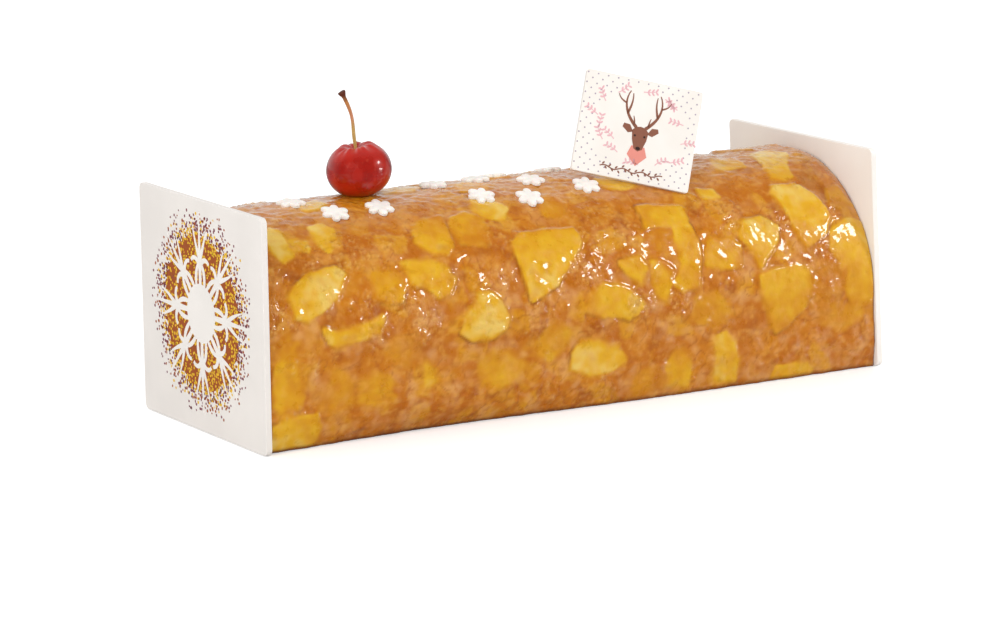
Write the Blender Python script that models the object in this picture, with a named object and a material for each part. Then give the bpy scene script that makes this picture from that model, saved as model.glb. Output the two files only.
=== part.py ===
"""Yule log cake: a fruit-in-jelly log between two upright end plates, with toppings on its ridge.

Metres, +Z up. The log runs along X, and its front is at -Y. The origin is at the centre of the
bounding box's bottom face, so everything rests on z = 0.
"""

import math

import bmesh
import bpy
from mathutils import Matrix, Vector

# End plates
PLATE_WIDTH = 0.090
PLATE_HEIGHT = 0.080
PLATE_THICKNESS = 0.0022
PLATE_CORNER_RADIUS = 0.0022
PLATE_EDGE_BEVEL = 0.0003
RIGHT_PLATE_LEAN = math.radians(2.5)  # its top leans in over the log

# Distance along the base, from the left plate's outer face to the right plate's inner face
SPAN = 0.250

# Log: straight lower sides under a rounded arch
LOG_HALF_WIDTH = 0.0442
SPRING_HEIGHT = 0.0305
ARCH_HEIGHT = 0.0450
LOG_END_GAP = 0.0003
TUCK_HEIGHT = 0.013  # the sides tuck in below this height
TUCK_LEAST = 0.0016
TUCK_MORE = 0.0044
TUCK_CENTRE = -0.058
TUCK_REACH = 0.060
SWELL = 0.00035  # uneven swelling of the glazed surface
SHOULDER_DROP = 0.003  # the arch rounds down beside the right plate
SHOULDER_REACH = 0.008
LOG_STATIONS = 52
ARCH_STEPS = 26

# Cherry and its stem
CHERRY_RADIUS = 0.0112
CHERRY_HALF_HEIGHT = 0.0094
CHERRY_DIMPLE_DEPTH = 0.0022
CHERRY_DIMPLE_WIDTH = 0.0036
CHERRY_X = -0.0641
CHERRY_CENTRE_HEIGHT = 0.0842
CHERRY_LEAN = math.radians(-8)
CHERRY_SIDES = 28
CHERRY_RINGS = 14
SEAT_GAP = 0.0003
STEM_RADIUS = 0.00062
STEM_KNOB_RADIUS = 0.00125
STEM_RUN = ((0.0, 0.0), (-0.0007, 0.0046), (-0.0012, 0.0100), (-0.0023, 0.0141), (-0.0051, 0.0196))

# Plaque
PLAQUE_WIDTH = 0.0428
PLAQUE_HEIGHT = 0.0374
PLAQUE_THICKNESS = 0.0025
PLAQUE_CORNER_RADIUS = 0.0009
PLAQUE_EDGE_BEVEL = 0.0003
PLAQUE_FOOT = (0.0347, -0.0183, 0.0731)  # middle of the front face's lower edge
PLAQUE_TURN = math.radians(-19.0)
PLAQUE_LEAN = math.radians(-21.2)
PLAQUE_ROLL = math.radians(14.6)

# Sugar snowflakes: place along the log, angle from the ridge (+ towards the front), spin
FLAKE_RADIUS = 0.0051
FLAKE_WAIST = 0.0031
FLAKE_THICKNESS = 0.0013
FLAKE_BEVEL = 0.00035
FLAKE_GAP = 0.0004
FLAKES = (
    (-0.0343, -1.2, 5),
    (-0.0164, -3.0, 22),
    (-0.0058, -11.2, 40),
    (0.0171, -10.9, 12),
    (0.0008, 9.0, 33),
    (-0.0241, 19.3, 0),
    (-0.0070, 25.0, 18),
    (0.0183, 20.6, 8),
    (-0.0923, 3.5, 28),
    (-0.0821, 19.8, 10),
    (-0.0646, 19.4, 24),
)

LENGTH = SPAN + PLATE_THICKNESS * math.cos(RIGHT_PLATE_LEAN)
X_LEFT = -LENGTH / 2
X_RIGHT_INNER = X_LEFT + SPAN
LOG_START = X_LEFT + PLATE_THICKNESS + LOG_END_GAP
LOG_TOP = SPRING_HEIGHT + ARCH_HEIGHT


def clear_scene():
    for obj in list(bpy.data.objects):
        bpy.data.objects.remove(obj, do_unlink=True)


def material(name, colour, roughness, metallic=0.0):
    made = bpy.data.materials.new(name)
    made.use_nodes = True
    shader = made.node_tree.nodes["Principled BSDF"]
    shader.inputs["Base Color"].default_value = (*colour, 1.0)
    shader.inputs["Roughness"].default_value = roughness
    shader.inputs["Metallic"].default_value = metallic
    return made


def add_object(name, mesh, surface, parent=None):
    mesh.materials.append(surface)
    obj = bpy.data.objects.new(name, mesh)
    bpy.context.scene.collection.objects.link(obj)
    obj.parent = parent
    return obj


def mesh_from(name, points, faces, smooth_angle=None):
    built = bmesh.new()
    verts = [built.verts.new(p) for p in points]
    for face in faces:
        built.faces.new([verts[i] for i in face])
    bmesh.ops.recalc_face_normals(built, faces=built.faces)
    mesh = bpy.data.meshes.new(name)
    built.to_mesh(mesh)
    built.free()
    if smooth_angle is not None:
        mesh.shade_smooth()
        mesh.set_sharp_from_angle(angle=smooth_angle)
    return mesh


def smoothstep(value):
    value = min(max(value, 0.0), 1.0)
    return value * value * (3 - 2 * value)


# ---- log ----------------------------------------------------------------------------------------


def log_end(z):
    """Where the log's right end stands at this height, following the leaning plate."""
    return X_RIGHT_INNER - LOG_END_GAP - z * math.tan(RIGHT_PLATE_LEAN)


def swell(x, turn):
    """Gentle lumps of the surface. turn runs from -1 at the back's foot to +1 at the front's."""
    along = math.sin(2 * math.pi * x / 0.061 + 1.7 * turn) + math.sin(2 * math.pi * x / 0.037 - 3.1 * turn)
    return SWELL * (0.5 * along + 0.6 * math.sin(5.3 * turn + 2 * math.pi * x / 0.094))


def tuck(x):
    near = (x - TUCK_CENTRE) / TUCK_REACH
    return TUCK_LEAST + TUCK_MORE * math.exp(-near * near)


def shoulder(x):
    return SHOULDER_DROP * smoothstep((x - (X_RIGHT_INNER - SHOULDER_REACH)) / SHOULDER_REACH)


def arch_point(x, angle):
    """Point of the arch at this angle from the ridge, + towards the front."""
    lump = swell(x, angle / math.pi * 1.4)
    wide = LOG_HALF_WIDTH + lump
    high = ARCH_HEIGHT + lump - shoulder(x)
    return Vector((x, -wide * math.sin(angle), SPRING_HEIGHT + high * math.cos(angle)))


def side_point(x, z, front):
    """Point of the straight side at this height, tucked in towards the base."""
    level = z / SPRING_HEIGHT
    turn = front * (0.7 + 0.3 * (1 - level))
    low = max(0.0, 1 - z / TUCK_HEIGHT)
    wide = LOG_HALF_WIDTH + swell(x, turn) - tuck(x) * low * low
    return Vector((x, -front * wide, z))


def log_section(x):
    side_levels = [SPRING_HEIGHT * k for k in (0.0, 0.09, 0.2, 0.34, 0.5, 0.75)]
    ring = [side_point(x, z, 1) for z in side_levels]
    ring += [arch_point(x, math.pi * (0.5 - k / ARCH_STEPS)) for k in range(ARCH_STEPS + 1)]
    ring += [side_point(x, z, -1) for z in reversed(side_levels)]
    return ring


def log_mesh():
    rings = []
    for k in range(LOG_STATIONS + 1):
        share = 1 - (1 - k / LOG_STATIONS) ** 1.18  # closer together near the rounded right end
        ring = []
        for point in log_section(LOG_START + share * (log_end(0) - LOG_START)):
            x = LOG_START + share * (log_end(point.z) - LOG_START)
            ring.append(Vector((x, point.y, point.z)))
        rings.append(ring)
    count = len(rings[0])
    points = [p for ring in rings for p in ring]
    faces = [list(range(count)), list(range(LOG_STATIONS * count, (LOG_STATIONS + 1) * count))]
    for k in range(LOG_STATIONS):
        for i in range(count):
            a, b = k * count + i, k * count + (i + 1) % count
            faces.append([a, b, b + count, a + count])
    return mesh_from("log", points, faces, math.radians(40))


def cut(target, cutter):
    """Cuts the hidden cutter's shape out of the target."""
    cutter.hide_render = True
    cutter.display_type = "WIRE"
    modifier = target.modifiers.new(cutter.name, "BOOLEAN")
    modifier.operation = "DIFFERENCE"
    modifier.solver = "EXACT"
    modifier.object = cutter


# ---- plates -------------------------------------------------------------------------------------


def rounded_outline(low, high, radius, steps=5):
    """Rectangle from low to high with rounded corners, anticlockwise."""
    outline = []
    corners = ((high[0], high[1], 0), (low[0], high[1], 1), (low[0], low[1], 2), (high[0], low[1], 3))
    for x, y, quarter in corners:
        centre_x = x - math.copysign(radius, x - (low[0] + high[0]) / 2)
        centre_y = y - math.copysign(radius, y - (low[1] + high[1]) / 2)
        for k in range(steps + 1):
            angle = math.pi / 2 * (quarter + k / steps)
            outline.append((centre_x + radius * math.cos(angle), centre_y + radius * math.sin(angle)))
    return outline


def slab_mesh(name, outline, thickness, bevel):
    """Outline in local YZ, extruded from x = 0 to x = thickness, with its rims bevelled."""
    built = bmesh.new()
    face = built.faces.new([built.verts.new((0, a, b)) for a, b in outline])
    extruded = bmesh.ops.extrude_face_region(built, geom=[face])
    moved = [part for part in extruded["geom"] if isinstance(part, bmesh.types.BMVert)]
    bmesh.ops.translate(built, verts=moved, vec=(thickness, 0, 0))
    bmesh.ops.recalc_face_normals(built, faces=built.faces)
    rims = [edge for edge in built.edges if abs(edge.verts[0].co.x - edge.verts[1].co.x) < 1e-6]
    bmesh.ops.bevel(built, geom=rims, offset=bevel, segments=2, profile=0.6, affect="EDGES")
    bmesh.ops.recalc_face_normals(built, faces=built.faces)
    mesh = bpy.data.meshes.new(name)
    built.to_mesh(mesh)
    built.free()
    mesh.shade_smooth()
    mesh.set_sharp_from_angle(angle=math.radians(35))
    return mesh


# ---- toppings -----------------------------------------------------------------------------------


def cherry_profile(grow):
    """Half profile from the bottom to the top dimple, as (radius, height) pairs."""
    pairs = []
    for k in range(CHERRY_RINGS + 1):
        angle = math.pi * (k / CHERRY_RINGS - 0.5)
        radius = CHERRY_RADIUS * math.cos(angle) ** 0.94 if 0 < k < CHERRY_RINGS else 0.0
        height = CHERRY_HALF_HEIGHT * math.sin(angle)
        if height > 0:
            height -= CHERRY_DIMPLE_DEPTH * math.exp(-((radius / CHERRY_DIMPLE_WIDTH) ** 2))
        pairs.append((radius + grow * math.cos(angle), height + grow * math.sin(angle)))
    pairs[0] = (0.0, pairs[0][1])
    pairs[-1] = (0.0, pairs[-1][1])
    return pairs


def turned_mesh(name, pairs, sides):
    points = [(0, 0, pairs[0][1])]
    for radius, height in pairs[1:-1]:
        for i in range(sides):
            angle = 2 * math.pi * i / sides
            points.append((radius * math.cos(angle), radius * math.sin(angle), height))
    points.append((0, 0, pairs[-1][1]))
    faces = []
    rows = len(pairs) - 2
    for i in range(sides):
        j = (i + 1) % sides
        faces.append([0, 1 + j, 1 + i])
        for k in range(rows - 1):
            a, b = 1 + k * sides + i, 1 + k * sides + j
            faces.append([a, b, b + sides, a + sides])
        last = 1 + (rows - 1) * sides
        faces.append([last + i, last + j, len(points) - 1])
    return mesh_from(name, points, faces, math.radians(50))


def stem_mesh(base):
    """A bent stalk with a knob at its tip, rising from base in the XZ plane."""
    knots = [Vector((base[0] + x, 0, base[1] + z)) for x, z in STEM_RUN]
    centres = []
    for k in range(len(knots) - 1):
        before, after = knots[max(k - 1, 0)], knots[min(k + 2, len(knots) - 1)]
        for i in range(4):
            t = i / 4
            centres.append(
                0.5
                * (
                    2 * knots[k]
                    + (knots[k + 1] - before) * t
                    + (2 * before - 5 * knots[k] + 4 * knots[k + 1] - after) * t * t
                    + (3 * knots[k] - before - 3 * knots[k + 1] + after) * t**3
                )
            )
    centres.append(knots[-1])
    sides, points, faces = 8, [], []
    for k, centre in enumerate(centres):
        ahead = centres[min(k + 1, len(centres) - 1)] - centres[max(k - 1, 0)]
        ahead.normalize()
        across = Vector((ahead.z, 0, -ahead.x))
        share = k / (len(centres) - 1)
        radius = STEM_RADIUS + (STEM_KNOB_RADIUS - STEM_RADIUS) * smoothstep((share - 0.86) / 0.12)
        for i in range(sides):
            angle = 2 * math.pi * i / sides
            points.append(centre + radius * (math.cos(angle) * across + math.sin(angle) * Vector((0, 1, 0))))
    for k in range(len(centres) - 1):
        for i in range(sides):
            a, b = k * sides + i, k * sides + (i + 1) % sides
            faces.append([a, b, b + sides, a + sides])
    faces += [list(range(sides)), list(range(len(points) - sides, len(points)))]
    return mesh_from("cherry_stem", points, faces, math.radians(50))


def flake_mesh():
    """A six-armed sugar flake lying on z = 0, its upper rim bevelled."""
    outline = []
    for arm in range(6):
        for share, reach in ((-0.30, 0.80), (-0.14, 0.98), (0.0, 1.0), (0.14, 0.98), (0.30, 0.80), (0.5, 0.0)):
            radius = FLAKE_WAIST + (FLAKE_RADIUS - FLAKE_WAIST) * reach
            angle = math.pi / 3 * (arm + share)
            outline.append((radius * math.cos(angle), radius * math.sin(angle)))
    count = len(outline)
    levels = ((0.0, 0.0), (FLAKE_THICKNESS - FLAKE_BEVEL, 0.0), (FLAKE_THICKNESS, FLAKE_BEVEL))
    points = []
    for height, inset in levels:
        for x, y in outline:
            keep = 1 - inset / math.hypot(x, y)
            points.append((x * keep, y * keep, height))
    faces = [list(range(count)), list(range(2 * count, 3 * count))]
    for level in range(2):
        for i in range(count):
            a, b = level * count + i, level * count + (i + 1) % count
            faces.append([a, b, b + count, a + count])
    return mesh_from("snowflake", points, faces, math.radians(50))


def flake_matrix(x, degrees, spin):
    angle = math.radians(degrees)
    step = 0.004
    along = arch_point(x + step, angle) - arch_point(x - step, angle)
    round_it = arch_point(x, angle - step / LOG_HALF_WIDTH) - arch_point(x, angle + step / LOG_HALF_WIDTH)
    normal = along.cross(round_it).normalized()
    along.normalize()
    across = normal.cross(along)
    turn = Matrix((along, across, normal)).transposed().to_4x4()
    place = arch_point(x, angle) + FLAKE_GAP * normal
    return Matrix.Translation(place) @ turn @ Matrix.Rotation(math.radians(spin), 4, "Z")


# ---- assembly -----------------------------------------------------------------------------------

clear_scene()
root = bpy.data.objects.new("yule_log_cake", None)
bpy.context.scene.collection.objects.link(root)

log = add_object("log", log_mesh(), material("mango_jelly", (0.60, 0.26, 0.03), 0.2), root)

plate_outline = rounded_outline((-PLATE_WIDTH / 2, 0.0), (PLATE_WIDTH / 2, PLATE_HEIGHT), PLATE_CORNER_RADIUS)
plate_white = material("plate_white", (0.84, 0.80, 0.76), 0.35)
for side, place, lean in (("left", X_LEFT, 0.0), ("right", X_RIGHT_INNER, -RIGHT_PLATE_LEAN)):
    name = f"end_plate_{side}"
    mesh = slab_mesh(name, plate_outline, PLATE_THICKNESS, PLATE_EDGE_BEVEL)
    plate = add_object(name, mesh, plate_white, root)
    plate.location.x = place
    plate.rotation_euler.y = lean

cherry_red = material("cherry_red", (0.42, 0.02, 0.01), 0.15)
cherry = add_object("cherry", turned_mesh("cherry", cherry_profile(0.0), CHERRY_SIDES), cherry_red, root)
cherry.location = (CHERRY_X, 0, CHERRY_CENTRE_HEIGHT)
cherry.rotation_euler.y = CHERRY_LEAN

seat_mesh = turned_mesh("cherry_seat", cherry_profile(SEAT_GAP), CHERRY_SIDES)
seat = add_object("cherry_seat", seat_mesh, cherry_red, root)
seat.matrix_local = cherry.matrix_local
seat.location = cherry.location
seat.rotation_euler = cherry.rotation_euler
cut(log, seat)

dimple = CHERRY_HALF_HEIGHT - CHERRY_DIMPLE_DEPTH + 2 * SEAT_GAP
stem_foot = (CHERRY_X + dimple * math.sin(CHERRY_LEAN), CHERRY_CENTRE_HEIGHT + dimple * math.cos(CHERRY_LEAN))
add_object("cherry_stem", stem_mesh(stem_foot), material("stem_tan", (0.30, 0.17, 0.07), 0.5), root)


def plaque_slab(name, grow):
    low = (-PLAQUE_WIDTH / 2 - grow, -grow)
    high = (PLAQUE_WIDTH / 2 + grow, PLAQUE_HEIGHT + grow)
    outline = rounded_outline(low, high, PLAQUE_CORNER_RADIUS, 3)
    mesh = slab_mesh(name, outline, PLAQUE_THICKNESS + 2 * grow, PLAQUE_EDGE_BEVEL)
    # Local X becomes the width and local Y the way back, so that the front face is at y = 0.
    mesh.transform(Matrix.Translation((0, -grow, 0)) @ Matrix(((0, -1, 0, 0), (1, 0, 0, 0), (0, 0, 1, 0), (0, 0, 0, 1))))
    return mesh


def set_on_ridge(obj):
    obj.location = PLAQUE_FOOT
    obj.rotation_mode = "YXZ"
    obj.rotation_euler = (PLAQUE_LEAN, PLAQUE_ROLL, PLAQUE_TURN)


plaque_white = material("plaque_white", (0.90, 0.86, 0.80), 0.4)
set_on_ridge(add_object("plaque", plaque_slab("plaque", 0.0), plaque_white, root))
notch = add_object("plaque_notch", plaque_slab("plaque_notch", SEAT_GAP), plaque_white, root)
set_on_ridge(notch)
cut(log, notch)

sugar_white = material("sugar_white", (0.88, 0.83, 0.78), 0.6)
flake = flake_mesh()
flake.materials.append(sugar_white)
for index, (x, degrees, spin) in enumerate(FLAKES, start=1):
    piece = bpy.data.objects.new(f"snowflake_{index:02d}", flake)
    bpy.context.scene.collection.objects.link(piece)
    piece.parent = root
    piece.matrix_local = flake_matrix(x, degrees, spin)
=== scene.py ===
"""Looks of the yule log cake: fruit pieces in jelly, printed plates, a cherry, a plaque and sugar flakes."""

import math

import bmesh
import bpy
import numpy as np
from mathutils import Matrix, Vector


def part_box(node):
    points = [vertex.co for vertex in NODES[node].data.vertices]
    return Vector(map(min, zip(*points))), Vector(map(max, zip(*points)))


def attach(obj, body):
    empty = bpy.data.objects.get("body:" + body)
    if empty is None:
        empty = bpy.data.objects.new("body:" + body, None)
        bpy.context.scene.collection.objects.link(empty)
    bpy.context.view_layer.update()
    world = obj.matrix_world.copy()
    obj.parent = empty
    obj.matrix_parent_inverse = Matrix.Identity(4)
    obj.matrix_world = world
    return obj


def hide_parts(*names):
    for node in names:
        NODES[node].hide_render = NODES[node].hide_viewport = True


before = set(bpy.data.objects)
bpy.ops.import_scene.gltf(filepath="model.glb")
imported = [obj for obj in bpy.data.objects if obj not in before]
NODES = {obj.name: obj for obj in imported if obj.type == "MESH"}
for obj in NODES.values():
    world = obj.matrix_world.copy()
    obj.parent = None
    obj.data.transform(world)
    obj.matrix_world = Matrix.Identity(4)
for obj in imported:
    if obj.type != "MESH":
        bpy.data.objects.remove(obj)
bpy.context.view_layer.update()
BODY = "root"
MM = 0.001

# ---- the log's form, as the CAD solid has it, in millimetres from the left plate's outer face ----
X_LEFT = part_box("end_plate_left")[0].x
SPAN = 250.0
PLATE = 2.2
END_GAP = 0.3
LEAN = math.radians(2.5)
HALF = 44.2
SPRING = 30.5
ARCH = 45.0
HALF_ARC = 70.1
TOTAL_ARC = 2 * (SPRING + HALF_ARC)
FINE_STEP, BACK_STEP, X_STEP = 0.60, 1.02, 0.68
FRONT_ARC = 104.0
LOW_GLINTS = 38.0


def srgb(r, g, b):
    def channel(v):
        v /= 255
        return v / 12.92 if v <= 0.04045 else ((v + 0.055) / 1.055) ** 2.4

    return (channel(r), channel(g), channel(b), 1.0)


JELLY_DEEP = srgb(190, 106, 12)
JELLY_AMBER = srgb(204, 124, 16)
JELLY_GOLD = srgb(214, 146, 24)
JELLY_BROWN = srgb(166, 84, 10)
# Pale tan: partly pulp, partly painted sheen of soft light on the glaze.
PULP_TAN_AND_SHEEN = srgb(222, 162, 98)
JELLY_PALE = srgb(222, 158, 62)
# Tan for the ridge: partly pulp, partly painted sheen of the overhead light on the glaze.
RIDGE_PULP_AND_SHEEN = srgb(196, 136, 74)
# Painted shade: dark brown for the creases beside raised fruit and along the log's foot.
CREVICE_SHADE = srgb(124, 56, 6)
# Pale specks: pulp grain, and painted glints of light on the bubbly froth.
PULP_SPECK_AND_GLINT = srgb(240, 190, 110)
SPECK_DARK = srgb(160, 78, 12)
FLESH_TONES = (0.0, 0.3, 0.55, 0.78, 1.0)
FLESH = (srgb(196, 112, 12), srgb(208, 134, 16), srgb(220, 156, 18), srgb(228, 174, 30), srgb(234, 196, 96))

# ---- camera and lamps ----------------------------------------------------------------------------
CAMERA = {"azimuth": -31.10, "elevation": 11.43, "roll": -0.71, "distance": 1.42696, "lens": 146.65}
CAMERA_TARGET = Vector((-0.01427, -0.0100, 0.03017))
WORLD_LIGHT, WORLD_GLOSS, BACKDROP_GLOSS = 0.62, 0.10, 0.85
FLOOR_LIFT = 0.42
# Name, azimuth, elevation, distance, size and power. The first two are the ones whose glints show:
# the key on the upper half of the log, and the low one on its steep lower half.
LAMPS = (
    ("key", 50, 27, 1.3, (0.24, 0.19), 3.4),
    ("low_key", 50, 5, 1.3, (0.20, 0.09), 1.7),
    ("overhead", 150, 66, 1.3, (1.7, 1.3), 3.4),
    ("front_left", -62, 24, 1.5, (1.2, 1.0), 10.5),
)
LAMP_TARGET = Vector((0, 0, 0.045))


def towards(azimuth, elevation):
    a, e = math.radians(azimuth), math.radians(elevation)
    return Vector((math.sin(a) * math.cos(e), -math.cos(a) * math.cos(e), math.sin(e)))


def lamp_place(azimuth, elevation, distance):
    return LAMP_TARGET + towards(azimuth, elevation) * distance


def camera_back():
    return towards(CAMERA["azimuth"], CAMERA["elevation"])


# ---- numeric helpers -----------------------------------------------------------------------------


def smooth(value, low=0.0, high=1.0):
    t = np.clip((value - low) / (high - low), 0, 1)
    return t * t * (3 - 2 * t)


def noise(u, v, cell, seed):
    """Gradient noise with features of about cell, from -1 to 1."""
    rng = np.random.default_rng(seed)
    turn = rng.random((128, 128)) * 2 * np.pi
    gu, gv = np.cos(turn), np.sin(turn)
    a, b = np.asarray(u) / cell + 300, np.asarray(v) / cell + 300
    i, j = np.floor(a).astype(int), np.floor(b).astype(int)
    fa, fb = a - i, b - j
    wa = fa**3 * (fa * (fa * 6 - 15) + 10)
    wb = fb**3 * (fb * (fb * 6 - 15) + 10)

    def corner(di, dj):
        ii, jj = (i + di) % 128, (j + dj) % 128
        return gu[ii, jj] * (fa - di) + gv[ii, jj] * (fb - dj)

    low = corner(0, 0) * (1 - wa) + corner(1, 0) * wa
    high = corner(0, 1) * (1 - wa) + corner(1, 1) * wa
    return 1.5 * (low * (1 - wb) + high * wb)


def cells(u, v, cell, seed):
    """For scattered points: the distance to the nearest in cells, how much further the second is,
    and two random values of the nearest."""
    rng = np.random.default_rng(seed)
    jitter = rng.random((128, 128, 4))
    a, b = np.asarray(u) / cell + 300, np.asarray(v) / cell + 300
    i, j = np.floor(a).astype(int), np.floor(b).astype(int)
    best = np.full(a.shape, 9.0)
    second = np.full(a.shape, 9.0)
    value = np.zeros(a.shape)
    other = np.zeros(a.shape)
    for di in (-1, 0, 1):
        for dj in (-1, 0, 1):
            spot = jitter[(i + di) % 128, (j + dj) % 128]
            away = np.hypot(i + di + spot[..., 0] - a, j + dj + spot[..., 1] - b)
            near = away < best
            second = np.where(near, best, np.minimum(second, away))
            best = np.where(near, away, best)
            value = np.where(near, spot[..., 2], value)
            other = np.where(near, spot[..., 3], other)
    return best, second - best, value, other


def swollen_max(a, b, k):
    """The larger of two heights, with the corner between them filled in over k."""
    return np.maximum(a, b) + np.maximum(k - np.abs(a - b), 0) ** 2 / (4 * k)


def polygon_depth(px, py, corners):
    """Distance inside the outline, negative outside it."""
    inside = np.zeros(px.shape, bool)
    nearest = np.full(px.shape, 1e9)
    for (ax, ay), (bx, by) in zip(corners, corners[1:] + corners[:1]):
        ex, ey = bx - ax, by - ay
        wx, wy = px - ax, py - ay
        t = np.clip((wx * ex + wy * ey) / (ex * ex + ey * ey), 0, 1)
        nearest = np.minimum(nearest, np.hypot(wx - ex * t, wy - ey * t))
        if ay != by:
            inside ^= ((ay <= py) != (by <= py)) & (px < ex * (py - ay) / (by - ay) + ax)
    return np.where(inside, nearest, -nearest)


def oval(u, v, radius, sides, squash, turn):
    """Corners of a flattened round shape about (u, v), its long way turned by turn."""
    ring = []
    for k in range(sides):
        angle = 2 * math.pi * k / sides
        a, b = radius * math.cos(angle), squash * radius * math.sin(angle)
        corner_u = u + a * math.cos(turn) - b * math.sin(turn)
        ring.append((corner_u, v + a * math.sin(turn) + b * math.cos(turn)))
    return ring


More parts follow.
